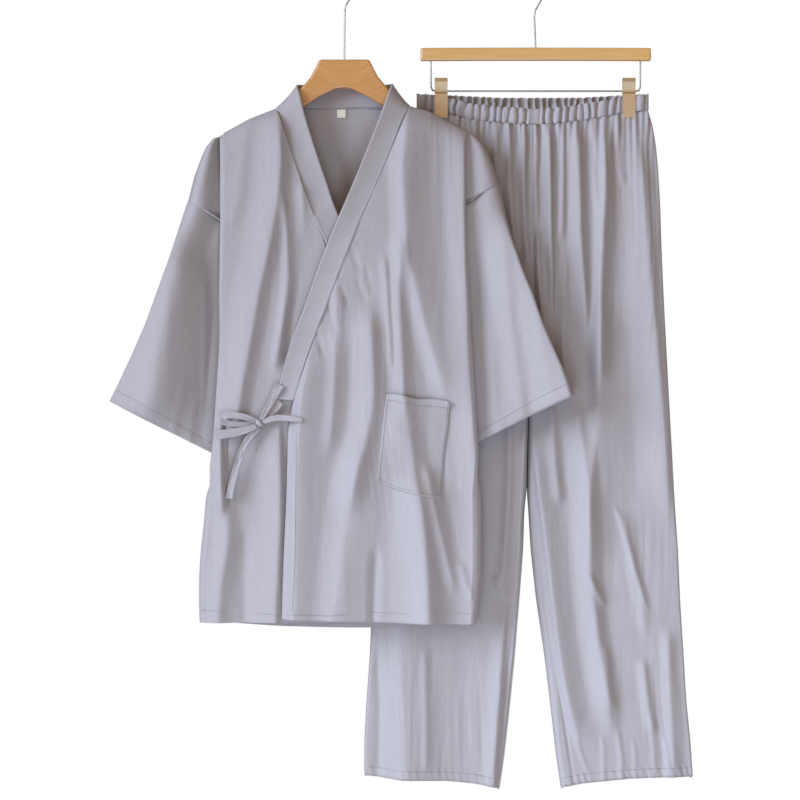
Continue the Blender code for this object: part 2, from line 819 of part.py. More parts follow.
def add_jacket(skin):
    """The wrap jacket: fronts, back, sleeves, neckband, pocket, ties and size label."""
    under = front_rows(LEFT_SIDE, UNDER_EDGE, under_depth, 15)
    add_sheet("jacket_front_under", under, CLOTH, skin)
    wrap = front_rows(RIGHT_SIDE, WRAP_EDGE, wrap_depth, 17)
    add_sheet("jacket_front_wrap", wrap, CLOTH, skin)
    add_sheet("jacket_back", back_rows(16), CLOTH, skin)
    left_outline = [(-0.245, -0.399), (-0.272, -0.474), (-0.301, -0.548), (-0.332, -0.613)]
    left = sleeve_rows(LEFT_SIDE, left_outline, (-0.161, -0.7015), LEFT_SLEEVE_FOLDS)
    add_sheet("sleeve_left", left, CLOTH, skin, closed=True)
    right_outline = [(0.235, -0.350), (0.256, -0.411), (0.284, -0.484), (0.306, -0.548)]
    right_outline.append((0.327, -0.603))
    right = sleeve_rows(RIGHT_SIDE, right_outline, (0.159, -0.6865), RIGHT_SLEEVE_FOLDS)
    add_sheet("sleeve_right", right, CLOTH, skin, closed=True)
    add_sheet("neckband", neckband_rows(), CLOTH, skin)
    add_sheet("pocket", pocket_rows(), CLOTH, skin)


def add_ties(skin):
    """The tied bow at the end of the neckband."""
    strips = {
        "tie_collar": TIE_COLLAR,
        "tie_side": TIE_SIDE,
        "tie_arm": TIE_ARM,
        "tie_loop": TIE_LOOP,
        "tie_tail": TIE_TAIL,
        "tie_drop": TIE_DROP,
    }
    for name, strip in strips.items():
        add_sheet(name, strip_rows(strip), TIE_CLOTH, skin)
    knot = bmesh.new()
    bmesh.ops.create_uvsphere(knot, u_segments=10, v_segments=6, radius=0.5)
    for point in knot.verts:
        for axis in range(3):
            point.co[axis] = point.co[axis] * KNOT_SIZE[axis] + KNOT[axis]
    mesh = bpy.data.meshes.new("tie_knot")
    knot.to_mesh(mesh)
    knot.free()
    mesh.shade_smooth()
    mesh.materials.append(skin)
    GARMENT.objects.link(bpy.data.objects.new("tie_knot", mesh))


def add_label(skin):
    """The bare size label, hanging inside the back neck from the seam."""
    rows = []
    for z in (-0.1985, -0.204, -0.2095):
        y = back_depth(0.0, z) - 0.5 * CLOTH - SEAM_GAP - 0.0006
        rows.append([(-0.011, y, z), (-0.0045, y, z), (0.002, y, z)])
    add_sheet("size_label", rows, LABEL_CLOTH, skin)


def add_trousers(skin):
    """The trousers: a gathered waistband over two front and two back panels."""
    add_sheet("waistband", waistband_rows(), BAND_CLOTH, skin, closed=True)
    for face, side in ((-1.0, "front"), (1.0, "back")):
        add_sheet("trouser_%s_left" % side, leg_rows(LEFT_LEG, face, 16), CLOTH, skin)
        add_sheet("trouser_%s_right" % side, leg_rows(RIGHT_LEG, face, 16), CLOTH, skin)


def add_shaped_hanger(wood, wire):
    """The jacket's hanger: a flat shaped board and its hook."""
    outline = list(zip(HANGER_TOP["x"], HANGER_TOP["z"]))
    outline += list(zip(HANGER_LOW["x"], HANGER_LOW["z"]))
    add_flat("jacket_hanger", outline, HANGER_THICK, 0.003, wood)
    foot = HANGER_TOP["z"].max() + SEAM_GAP * 0.75
    add_wire("jacket_hook", hook_points(0.0, 0.0, foot), wire)


def add_clip(name, x, skin):
    """A clip: a metal strip that nips the cross wire, its legs either side of the band."""
    grip = CLIP_DEPTH + 0.25 * GATHER_DEPTH + 0.5 * BAND_CLOTH + 0.0011
    nip = WIRE_RADIUS + 0.5 * CLIP_METAL + SEAM_GAP * 0.75
    section = (
        (-grip, -0.2065),
        (-grip - 0.0004, -0.186),
        (-grip, CROSS_WIRE_Z - 0.0042),
        (-nip, CROSS_WIRE_Z - 0.0015),
        (-nip, CROSS_WIRE_Z + 0.0015),
        (-0.0052, -0.155),
        (-0.0030, -0.1495),
        (0.0030, -0.1495),
        (0.0052, -0.155),
        (nip, CROSS_WIRE_Z + 0.0015),
        (nip, CROSS_WIRE_Z - 0.0015),
        (grip, CROSS_WIRE_Z - 0.0042),
        (grip + 0.0004, -0.186),
        (grip, -0.2045),
    )
    rows = []
    for part in (-0.5, 0.0, 0.5):
        rows.append([(x + CLIP_WIDTH * part, TROUSER_Y + y, z) for y, z in section])
    add_sheet(name, rows, CLIP_METAL, skin)


def bar_edge(x, side):
    """The height of the bowed bar's upper edge (side 0.5) or lower edge (side -0.5)."""
    part = (x - BAR_X) / (0.5 * BAR_LENGTH)
    return BAR_Z + BAR_BOW * (1.0 - part * part) + side * BAR_HEIGHT


def add_bar_hanger(wood, wire, metal):
    """The trousers' hanger: a wooden bar, its hook, a wire frame and two clips."""
    bar = bmesh.new()
    bmesh.ops.create_grid(bar, x_segments=10, y_segments=1, size=0.5)
    for point in bar.verts:
        x = BAR_X + point.co.x * BAR_LENGTH
        point.co = (x, TROUSER_Y, bar_edge(x, point.co.y))
    mesh = bpy.data.meshes.new("bar_hanger")
    bar.to_mesh(mesh)
    bar.free()
    mesh.materials.append(wood)
    piece = bpy.data.objects.new("bar_hanger", mesh)
    thicken = piece.modifiers.new("thickness", "SOLIDIFY")
    thicken.thickness = BAR_THICK
    thicken.offset = 0.0
    round_off = piece.modifiers.new("round", "BEVEL")
    round_off.width = 0.0028
    round_off.segments = 2
    GARMENT.objects.link(piece)
    top = bar_edge(BAR_X, 0.5) + SEAM_GAP * 0.75
    hook = hook_points(BAR_X - 0.0025, TROUSER_Y, top, 0.0025)
    add_wire("trouser_hook", hook, wire)
    ends = (BAR_X - 0.1505, BAR_X + 0.1505)
    drop = bar_edge(ends[0], -0.5) - SEAM_GAP
    frame = [
        (ends[0], TROUSER_Y, drop),
        (ends[0], TROUSER_Y, CROSS_WIRE_Z + 0.006),
        (ends[0] + 0.002, TROUSER_Y, CROSS_WIRE_Z + 0.0015),
        (ends[0] + 0.006, TROUSER_Y, CROSS_WIRE_Z),
        (ends[1] - 0.006, TROUSER_Y, CROSS_WIRE_Z),
        (ends[1] - 0.002, TROUSER_Y, CROSS_WIRE_Z + 0.0015),
        (ends[1], TROUSER_Y, CROSS_WIRE_Z + 0.006),
        (ends[1], TROUSER_Y, drop),
    ]
    add_wire("clip_wire", frame, wire)
    add_clip("clip_left", CLIP_X[0], metal)
    add_clip("clip_right", CLIP_X[1], metal)


for old in list(bpy.data.objects):
    bpy.data.objects.remove(old, do_unlink=True)
GARMENT = bpy.data.collections.new("kimono_pyjama_set")
bpy.context.scene.collection.children.link(GARMENT)

cloth = material("lavender_grey_cloth", CLOTH_COLOUR, 0.85)
pale_wood = material("varnished_wood", WOOD_COLOUR, 0.40)
steel_wire = material("hook_steel", WIRE_COLOUR, 0.35, 1.0)
clip_metal = material("clip_metal", CLIP_COLOUR, 0.45, 0.8)
label_tape = material("label_tape", LABEL_COLOUR, 0.80)

add_jacket(cloth)
add_ties(cloth)
add_label(label_tape)
add_trousers(cloth)
add_shaped_hanger(pale_wood, steel_wire)
add_bar_hanger(pale_wood, steel_wire, clip_metal)
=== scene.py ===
# %% [markdown]
# # A kimono pyjama set in plain lavender-grey cloth
# A wrap jacket hangs on a shaped wooden hanger, in front of wide trousers on a clip hanger. The fixed
# frame already holds every hard piece and a plain solid for each cloth piece. This lesson covers each
# cloth solid with a thin shell that carries the folds, seams and hems, and gives all of it its finish.

# %% The frame, and the helpers that every cell uses
import math

import bpy
import numpy as np
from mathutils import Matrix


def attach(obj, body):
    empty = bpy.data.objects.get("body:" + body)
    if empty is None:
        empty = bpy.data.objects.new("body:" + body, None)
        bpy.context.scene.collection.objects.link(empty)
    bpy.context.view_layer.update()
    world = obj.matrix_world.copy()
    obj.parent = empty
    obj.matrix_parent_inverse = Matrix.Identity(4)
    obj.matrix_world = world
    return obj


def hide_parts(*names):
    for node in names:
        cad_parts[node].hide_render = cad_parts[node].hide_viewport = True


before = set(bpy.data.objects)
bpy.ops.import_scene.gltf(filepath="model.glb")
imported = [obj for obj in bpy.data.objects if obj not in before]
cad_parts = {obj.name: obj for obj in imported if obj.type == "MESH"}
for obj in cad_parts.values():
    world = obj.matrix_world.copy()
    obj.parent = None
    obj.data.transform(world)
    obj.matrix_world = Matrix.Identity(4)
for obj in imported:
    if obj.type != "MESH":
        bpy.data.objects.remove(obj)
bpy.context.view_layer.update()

bpy.ops.object.select_all(action="DESELECT")
print("solids in the frame:", len(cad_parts))

# %% [markdown]
# Folds are easiest to place on a front view. Here a front view is ruled in steps of 1.42 mm, 400
# steps from its left edge to the middle of the set and 400 from its top edge, and `spot` turns a place
# on it into metres. What hangs further back looks smaller, so `spot` is told the depth.

# %% Places on the front view
STEP = 0.00142
MIDDLE = (0.0788, -0.612)
CAMERA_AWAY = 4.0
TROUSER_Y = 0.050


def spot(across, down, y=0.0):
    """The x and z of a place on the ruled front view, at depth y."""
    grow = STEP * (1.0 + y / CAMERA_AWAY)
    return MIDDLE[0] + (across - 400.0) * grow, MIDDLE[1] - (down - 400.0) * grow


# %% [markdown]
# A long lens from four metres, level with the middle of the set, keeps the cloth's edges upright.
# One soft key light comes from the upper left, so a fold's left flank is cool and bright. Weak warm
# light from all round fills the rest, so its right flank is dull and warm, and deep folds go dark. A
# low softbox lifts the trousers, and a broad light from behind shows the backs.

# %% Camera, light and floor
camera = bpy.data.objects.new("front_camera", bpy.data.cameras.new("front_camera"))
camera.location = (MIDDLE[0], -CAMERA_AWAY, MIDDLE[1])
camera.rotation_euler = (math.radians(90.0), 0.0, 0.0)
camera.data.sensor_width = 36.0
camera.data.lens = 126.76
bpy.context.scene.collection.objects.link(camera)
bpy.context.scene.camera = camera
bpy.context.scene.view_settings.view_transform = "Standard"


def add_light(name, kind, strength, colour):
    """A light of a kind, which is turned and placed afterwards."""
    lamp = bpy.data.lights.new(name, kind)
    lamp.energy = strength
    lamp.color = colour
    lit = bpy.data.objects.new(name, lamp)
    bpy.context.scene.collection.objects.link(lit)
    return lit


# name, where it comes from, strength, colour, softness in degrees
SUNS = [
    ("key_softbox", (-0.83, -0.50, 0.24), 4.2, (0.63, 0.755, 1.0), 34.0),
    ("weak_fill", (-0.05, -0.92, 0.38), 0.58, (1.0, 0.81, 0.62), 60.0),
    ("back_fill", (0.55, 0.80, 0.10), 2.1, (0.84, 0.89, 1.0), 40.0),
]
for name, towards, strength, colour, softness in SUNS:
    sun = add_light(name, "SUN", strength, colour)
    sun.data.angle = math.radians(softness)
    away = np.array(towards) / np.linalg.norm(towards)
    sun.rotation_euler = (math.acos(away[2]), 0.0, math.atan2(away[1], away[0]) + math.pi / 2)
low = add_light("low_softbox", "AREA", 6.6, (0.60, 0.75, 1.0))
low.data.size = 0.5
low.location = (0.16, -1.12, -1.04)
low.rotation_euler = (math.radians(92.0), 0.0, math.radians(-14.0))


def add_node(tree, kind, inputs=None, **settings):
    """Adds a node with its settings, and its inputs as values or as the sockets that feed them."""
    node = tree.nodes.new(kind)
    for name, value in settings.items():
        setattr(node, name, value)
    for name, value in (inputs or {}).items():
        if isinstance(value, bpy.types.NodeSocket):
            tree.links.new(value, node.inputs[name])
        else:
            node.inputs[name].default_value = value
    return node


world = bpy.data.worlds.new("white_room")
world.use_nodes = True
bpy.context.scene.world = world
room = world.node_tree
room.nodes.clear()
seen = add_node(room, "ShaderNodeLightPath")
glow = add_node(room, "ShaderNodeBackground", {"Color": (1.0, 0.81, 0.62, 1.0), "Strength": 0.24})
white = add_node(room, "ShaderNodeBackground", {"Color": (1.0, 1.0, 1.0, 1.0), "Strength": 1.0})
mixed = add_node(room, "ShaderNodeMixShader", {0: seen.outputs["Is Camera Ray"],
                                               1: glow.outputs[0], 2: white.outputs[0]})
add_node(room, "ShaderNodeOutputWorld", {"Surface": mixed.outputs[0]})

bpy.ops.mesh.primitive_circle_add(vertices=64, radius=2.0, fill_type="NGON",
                                  location=(MIDDLE[0], -1.2, -1.30))
floor = bpy.context.object
floor.name = "pale_floor"
print("camera, four soft lights and a pale floor")

# %% [markdown]
# ## Finishes
# Colours are written as sRGB hex values, as a colour picker gives them, and one function makes them
# linear. The cloth is a viscose and cotton plain weave: matt, a little silky, its warp uneven, which
# shows as fine upright slubs. Its pattern reads each piece's own UV map, in metres of cloth.

# %% Colours
def hex_colour(code):
    """A colour from sRGB hex to linear values."""
    parts = [int(code[k:k + 2], 16) / 255.0 for k in (1, 3, 5)]
    linear = [p / 12.92 if p <= 0.04045 else ((p + 0.055) / 1.055) ** 2.4 for p in parts]
    return (*linear, 1.0)


def start_material(name, inputs):
    """A new material, with its node tree and its Principled BSDF set to the inputs."""
    made = bpy.data.materials.new(name)
    made.use_nodes = True
    shader = made.node_tree.nodes["Principled BSDF"]
    for socket, value in inputs.items():
        shader.inputs[socket].default_value = value
    return made, made.node_tree, shader


def add_math(tree, operation, *values):
    """One sum of sockets or numbers."""
    return add_node(tree, "ShaderNodeMath", dict(enumerate(values)), operation=operation).outputs[0]


def add_noise(tree, place, sizes_mm, detail, roughness=0.5):
    """Noise with a size of its own along each axis."""
    scale = tuple(1000.0 / size for size in sizes_mm)
    stretched = add_node(tree, "ShaderNodeMapping", {"Vector": place, "Scale": scale}).outputs[0]
    inputs = {"Vector": stretched, "Scale": 1.0, "Detail": detail, "Roughness": roughness}
    return add_node(tree, "ShaderNodeTexNoise", inputs).outputs["Fac"]


def add_bump(tree, shader, height, relief_mm):
    """Raises a surface by a height."""
    bump = add_node(tree, "ShaderNodeBump", {"Height": height, "Distance": relief_mm * 0.001})
    tree.links.new(bump.outputs[0], shader.inputs["Normal"])


# %% Cloth
THREAD_MM = 0.9      # the real thread is 0.35 mm, too fine to show
WARP_SLUB_MM = (1.3, 30.0, 1000.0)
WEFT_SLUB_MM = (30.0, 1.3, 1000.0)
PUCKER_MM = (9.0, 34.0, 1000.0)
WEFT_SHARE = 0.38
SLUB_RELIEF = 0.42
THREAD_RELIEF = 0.12


def cloth_material(name, pale, deep, relief_mm):
    """Viscose-cotton plain weave: threads, upright slubs and slight uneven crumple."""
    made, tree, shader = start_material(name, {"Roughness": 0.70, "Sheen Weight": 0.15,
                                               "Sheen Roughness": 0.45, "Specular IOR Level": 0.45})
    place = add_node(tree, "ShaderNodeUVMap", uv_map="cloth").outputs[0]
    slubs = {"Factor": WEFT_SHARE, "A": add_noise(tree, place, WARP_SLUB_MM, 3.0),
             "B": add_noise(tree, place, WEFT_SLUB_MM, 3.0)}
    slub = add_node(tree, "ShaderNodeMix", slubs, data_type="FLOAT").outputs[0]
    waves = {"Vector": place, "Scale": 100.0 / THREAD_MM * math.pi}
    warp, weft = [add_node(tree, "ShaderNodeTexWave", waves, bands_direction=way).outputs["Fac"]
                  for way in "XY"]
    weave = add_math(tree, "MULTIPLY", add_math(tree, "MAXIMUM", warp, weft), THREAD_RELIEF)
    streak = add_math(tree, "MULTIPLY_ADD", slub, SLUB_RELIEF, weave)
    pucker = add_noise(tree, place, PUCKER_MM, 6.0, 0.66)
    add_bump(tree, shader, add_math(tree, "ADD", pucker, streak), relief_mm)
    tone = add_node(tree, "ShaderNodeMix", {"Factor": slub, "A": hex_colour(deep), "B": hex_colour(pale)},
                    data_type="RGBA")
    tree.links.new(tone.outputs[2], shader.inputs["Base Color"])
    return made


cloth = cloth_material("viscose_cotton_plain_weave", "#aba4a3", "#968f8e", 0.60)
# The thread is darker than the cloth: partly its own colour, partly painted shade of the groove and puckers
# along each seam.
thread_and_seam_shade = cloth_material("sewing_thread_and_painted_seam_shade", "#8b8584", "#7c7675", 0.1)
tape = cloth_material("cream_label_tape", "#ebe4d2", "#ddd5c0", 0.1)


# %% [markdown]
# Both hangers are pale maple under satin lacquer: even, fine-grained and a little glossy. The grain
# runs along each arm, so on the shaped hanger it meets in a V at the middle. The hooks are drawn steel
# wire, nickel plated, and the clips are plated champagne.

# %% Wood, wire and clips
GRAIN_MM = (70.0, 4.0, 1.4)


def wood_material(name, arm_angle, dark, light):
    """Lacquered maple, its grain along the arms at an angle to the level."""
    made, tree, shader = start_material(name, {"Roughness": 0.38, "Coat Weight": 0.15,
                                               "Coat Roughness": 0.22})
    place = add_node(tree, "ShaderNodeTexCoord").outputs["Object"]
    either = add_node(tree, "ShaderNodeVectorMath", {0: place}, operation="ABSOLUTE")
    across = add_node(tree, "ShaderNodeSeparateXYZ", {0: either.outputs[0]}).outputs[0]
    plain = add_node(tree, "ShaderNodeSeparateXYZ", {0: place}).outputs
    folded = add_node(tree, "ShaderNodeCombineXYZ", {0: across, 1: plain[1], 2: plain[2]})
    turned = add_node(tree, "ShaderNodeMapping",
                      {"Vector": folded.outputs[0], "Rotation": (0.0, math.radians(arm_angle), 0.0)})
    grain = add_noise(tree, turned.outputs[0], GRAIN_MM, 4.0, 0.6)
    ramp = add_node(tree, "ShaderNodeValToRGB", {"Fac": grain})
    for stop, position, code in zip(ramp.color_ramp.elements, (0.30, 0.72), (dark, light)):
        stop.position = position
        stop.color = hex_colour(code)
    tree.links.new(ramp.outputs[0], shader.inputs["Base Color"])
    add_bump(tree, shader, grain, 0.04)
    return made


def metal_material(name, code, roughness, drawn_mm):
    """A plated metal with fine drawn marks."""
    made, tree, shader = start_material(name, {"Roughness": roughness, "Metallic": 1.0,
                                               "Base Color": hex_colour(code)})
    place = add_node(tree, "ShaderNodeTexCoord").outputs["Object"]
    add_bump(tree, shader, add_noise(tree, place, drawn_mm, 3.0), 0.03)
    return made


arm_wood = wood_material("lacquered_maple_arms", 28.0, "#b27b40", "#c9935a")
bar_wood = wood_material("lacquered_maple_bar", 0.0, "#c39150", "#d7aa6e")
wire_steel = metal_material("nickel_plated_wire", "#8f867a", 0.42, (0.5, 0.5, 12.0))
clip_steel = metal_material("champagne_plated_steel", "#cab391", 0.50, (0.6, 3.0, 14.0))
floor_paint = start_material("pale_floor_paint", {"Roughness": 0.9, "Base Color": hex_colour("#f4f3f1")})
floor.data.materials.append(floor_paint[0])

HARD_FINISHES = {
    "jacket_hanger": arm_wood, "bar_hanger": bar_wood, "jacket_hook": wire_steel,
    "trouser_hook": wire_steel, "clip_wire": wire_steel, "clip_left": clip_steel,
    "clip_right": clip_steel,
}
for node, finish in HARD_FINISHES.items():
    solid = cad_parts[node]
    solid.data.materials.clear()
    solid.data.materials.append(finish)
print("finishes on", len(HARD_FINISHES), "hard pieces")

# %% [markdown]
# ## How a fold is made
# Hung cloth falls in soft ridges. Each one here is a row: how far it spreads to its left and to its
# right, how far its crest stands out, and the places that its crest runs through. A crest is drawn
# crisper than its foot, as cloth bends sharply at a ridge and flattens out beside it.

# %% Folds
CREST_ROUND = 0.20
FOOT_POWER = 1.7
JACKET_FOLDS = 2.2
TROUSER_FOLDS = 2.5


def smooth(value):
    """An even step from 0 to 1."""
    value = np.clip(value, 0.0, 1.0)
    return value * value * (3.0 - 2.0 * value)


def rounded(part):
    """A quarter round: steep at 0, level at 1 and beyond."""
    return np.sqrt(np.clip(1.0 - np.clip(1.0 - part, 0.0, None) ** 2, 0.0, None))


def closer_at_ends(count):
    """Parts from 0 to 1, drawn a little closer at both ends."""
    even = np.linspace(0.0, 1.0, count)
    return 0.35 * (0.5 - 0.5 * np.cos(math.pi * even)) + 0.65 * even


def at_height(rows, name, z, heights="z"):
    """One column of a table that runs down the cloth, read at some heights."""
    return np.interp(-z, -rows[heights], rows[name])


def line_z(line, x):
    """The height of a table's line over some places across."""
    return np.interp(x, line["x"], line["z"])


def distances(points):
    """How far along their run some points lie."""
    return np.concatenate([[0.0], np.cumsum(np.linalg.norm(np.diff(points, axis=0), axis=1))])


def read_run(points, far, wanted):
    """A run of points, read off at other distances along it."""
    return np.stack([np.interp(wanted, far, points[:, k]) for k in range(points.shape[1])], axis=-1)


def running_mean(values, span):
    """Values evened out over a span of their neighbours."""
    padded = np.pad(values, span, mode="reflect", reflect_type="odd")
    kernel = np.hanning(2 * span + 3)[1:-1]
    return np.convolve(padded, kernel / kernel.sum(), mode="valid")


def relief(folds, x, z, y=0.0):
    """How far a list of folds brings the cloth out, at many places at once."""
    total = np.zeros_like(x)
    for left, right, depth, *path in folds:
        places = np.array([spot(across, down, y) for across, down in path])
        far = np.linspace(0.0, 1.0, 81)
        level = places[0, 1] + (places[-1, 1] - places[0, 1]) * far
        middle = running_mean(np.interp(-level, -places[:, 1], places[:, 0]), 5)
        away = x - np.interp(-z, -level, middle)
        wide = np.where(away < 0.0, left, right) * STEP
        part = np.sqrt((away / wide) ** 2 + CREST_ROUND**2) - CREST_ROUND
        along = (places[0, 1] - z) / (places[0, 1] - places[-1, 1])
        fade = smooth(along / 0.16) * smooth((1.0 - along) / 0.16)
        total += depth * 0.001 * fade * np.clip(1.0 - part, 0.0, 1.0) ** FOOT_POWER
    return total


def wander(x, z, size_x, size_z, seed):
    """Soft random waves between -1 and 1, of a given size each way."""
    knots = np.random.default_rng(seed).uniform(-1.0, 1.0, (64, 64))
    u, v = x / size_x + 640.0, z / size_z + 640.0
    i, j = np.floor(u).astype(int), np.floor(v).astype(int)
    s, t = smooth(u - i), smooth(v - j)
    i, j, i2, j2 = i % 64, j % 64, (i + 1) % 64, (j + 1) % 64
    upper = knots[i, j] * (1 - s) + knots[i2, j] * s
    lower = knots[i, j2] * (1 - s) + knots[i2, j2] * s
    return upper * (1 - t) + lower * t


# %% [markdown]
# A cloth piece is a grid of points, row by row down the cloth. It rides on the body and stands for
# its plain solid.

# %% From rows of points to a sheet
SHEETS = {}
CLOTH_WALL = 0.0010


def add_sheet(node, rows, wall=CLOTH_WALL, skin=cloth, closed=False):
    """A cloth piece from a grid of points, which replaces the solid of its name."""
    rows = np.array(rows, float)
    if closed:
        rows = np.concatenate([rows, rows[:, :1]], axis=1)
    down, across = rows.shape[:2]
    step_across = np.linalg.norm(np.diff(rows, axis=1), axis=2).mean(axis=0)
    step_down = np.linalg.norm(np.diff(rows, axis=0), axis=2).mean(axis=1)
    u = np.concatenate([[0.0], np.cumsum(step_across)])
    v = -np.concatenate([[0.0], np.cumsum(step_down)])
    columns = across - 1 if closed else across
    index = np.arange(down)[:, None] * columns + (np.arange(across) % columns)[None, :]
    corners = [index[:-1, :-1], index[1:, :-1], index[1:, 1:], index[:-1, 1:]]
    faces = np.stack(corners, axis=2).reshape(-1, 4)
    mesh = bpy.data.meshes.new(node + "_cloth")
    mesh.from_pydata(rows[:, :columns].reshape(-1, 3).tolist(), [], faces.tolist())
    chart = mesh.uv_layers.new(name="cloth")
    i, j = np.meshgrid(np.arange(across - 1), np.arange(down - 1))
    each = [(i, j), (i, j + 1), (i + 1, j + 1), (i + 1, j)]
    places = np.stack([np.stack([u[a], v[b]], axis=2) for a, b in each], axis=2)
    chart.data.foreach_set("uv", places.reshape(-1).astype(np.float32))
    mesh.shade_smooth()
    mesh.materials.append(skin)
    piece = bpy.data.objects.new(node + "_cloth", mesh)
    bpy.context.scene.collection.objects.link(piece)
    thicken = piece.modifiers.new("wall", "SOLIDIFY")
    thicken.thickness = wall
    thicken.offset = 0.0
    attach(piece, "root")
    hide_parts(node)
    SHEETS[node] = rows
    print(piece.name, "has", len(faces), "faces")


# %% [markdown]
# ## The jacket's body
# Each front and the back reach from the shoulder to the hem. At the side the cloth folds back behind
# itself: the fold is the edge that shows, and the real edge goes out to the shoulder and armhole, then
# in behind the sleeve, then out again to the side seam. The tables give both, in millimetres.

# %% Sizes of the body
SIDE_DEPTH = 0.0160
FRONT_CROWN = 0.0060
WRAP_LIFT = 0.0055
BACK_CROWN = 0.0030
HALF_WIDTH = 0.176
FOLD_TURN = 0.0035
FOLD_REACH = 0.0045
SHOULDER_ROUND = 0.030
FRONT_CAP_DIP = (1.15, 0.50)
BACK_CAP_DIP = 0.25
CAP_SWELL = 0.0060
LEAST_RISE = 0.04


def table(names, *rows):
    """Columns of a short table in millimetres, as arrays in metres."""
    return dict(zip(names.split(), np.array(rows, float).T * 0.001))


LEFT_SIDE = table(
    "fold_x fold_z edge_x edge_z edge_y",
    (-177, -237.0, -188, -243, 0.8), (-177, -239.5, -191, -247, 0.8),
    (-177, -246.0, -196, -253, 0.8), (-176, -262.0, -202, -266, 0.8),
    (-176, -300.0, -213, -296, 0.8), (-176, -351.0, -222, -332, 0.8),
    (-176, -357.0, -169, -361, 11.8), (-176, -410.0, -168, -412, 11.8),
    (-177, -460.0, -167, -461, 11.8), (-177, -508.0, -165, -510, 11.0),
    (-178, -540.0, -151, -541, 0.8), (-181, -600.0, -150, -600, 0.8),
    (-186, -665.0, -150, -665, 0.8), (-190, -705.0, -152, -705, 0.8),
    (-193, -728.0, -182, -728, 0.8), (-197, -755.0, -197, -755, 0.8),
    (-202, -812.0, -202, -812, 0.8), (-206, -870.0, -206, -870, 0.8),
    (-207, -905.0, -207, -905, 0.8), (-205, -927.0, -205, -927, 0.8),
)
RIGHT_SIDE = table(
    "fold_x fold_z edge_x edge_z edge_y",
    (173, -231.0, 187, -240, 0.8), (173, -233.5, 191, -244, 0.8),
    (173, -240.0, 197, -250, 0.8), (172, -256.0, 204, -262, 0.8),
    (172, -290.0, 212, -283, 0.8), (172, -332.0, 219, -306, 0.8),
    (172, -338.0, 165, -342, 11.8), (173, -395.0, 164, -397, 11.8),
    (176, -450.0, 163, -451, 11.8), (178, -500.0, 162, -502, 11.0),
    (181, -535.0, 149, -536, 0.8), (185, -600.0, 148, -600, 0.8),
    (187, -655.0, 148, -655, 0.8), (189, -690.0, 150, -690, 0.8),
    (191, -715.0, 178, -715, 0.8), (193, -745.0, 193, -745, 0.8),
    (194, -800.0, 194, -800, 0.8), (195, -855.0, 195, -855, 0.8),
    (191, -895.0, 191, -895, 0.8), (187, -930.0, 187, -930, 0.8),
)
TUCK = np.array([1.0] * 14 + [0.55] + [0.0] * 5)
UNDER_EDGE = table(
    "fold_z x z",
    (-237, -96, -198), (-300, -77, -254), (-351, -60, -305), (-410, -44, -347),
    (-460, -28, -388), (-540, 4, -480), (-600, 33, -560), (-665, 59, -640),
    (-755, 64, -745), (-927, 64, -927),
)
WRAP_EDGE = table(
    "fold_z x z",
    (-231, 92, -197), (-290, 67, -258), (-338, 45, -309), (-395, 22, -362),
    (-450, -1, -418), (-500, -27, -487), (-535, -45, -535), (-600, -70, -606),
    (-655, -79, -655), (-745, -81, -745), (-855, -86, -848), (-930, -88, -922),
)
SHOULDER = table(
    "x z",
    (-188, -243), (-177, -236.5), (-134, -213), (-96, -198), (-60, -197), (57, -197),
    (92, -195), (121, -203), (173, -230), (187, -240),
)

# %% [markdown]
# The folds of the two fronts, in steps of the ruled view. The long ones start at the shoulder, where
# the hanger's arm holds the cloth, and fall to the hem. Small ones beside the collar are puckers: its
# seam was drawn up as it was sewn.

# %% Folds of the fronts
# left, right, depth in mm, then the crest's places (across, down)
UNDER_FOLDS = [
    (26, 12, 5.2, (276, 92), (277, 110), (279, 130), (281, 150), (281, 170), (279, 190), (276, 210),
     (272, 235), (268, 255), (262, 280), (258, 300), (255, 320), (250, 345), (246, 370), (241, 395),
     (237, 418), (233, 445), (230, 470)),
    (8, 8, 2.2, (281, 180), (284, 200), (288, 240), (289, 280), (284, 320), (280, 350), (275, 380)),
    (18, 14, 1.1, (250, 100), (248, 125), (245, 150), (240, 195), (230, 235)),
    (14, 4, 4.0, (222, 418), (222, 440), (222, 480), (224, 520)),
    (3, 3, -3.4, (226, 420), (226, 445), (227, 480), (229, 512)),
    (17, 14, 4.6, (222, 440), (224, 470), (226, 500), (229, 525), (228, 545), (222, 580), (219, 620),
     (218, 670)),
    (22, 4, 3.8, (279, 408), (280, 430), (281, 470), (281, 520), (279, 570), (277, 610), (276, 670)),
    (8, 9, -4.0, (318, 228), (305, 270), (294, 310), (287, 345), (281, 376)),
    (7, 6, 1.2, (302, 180), (304, 215), (303, 260)),
    (12, 12, -1.8, (246, 520), (244, 570), (246, 670)),
]
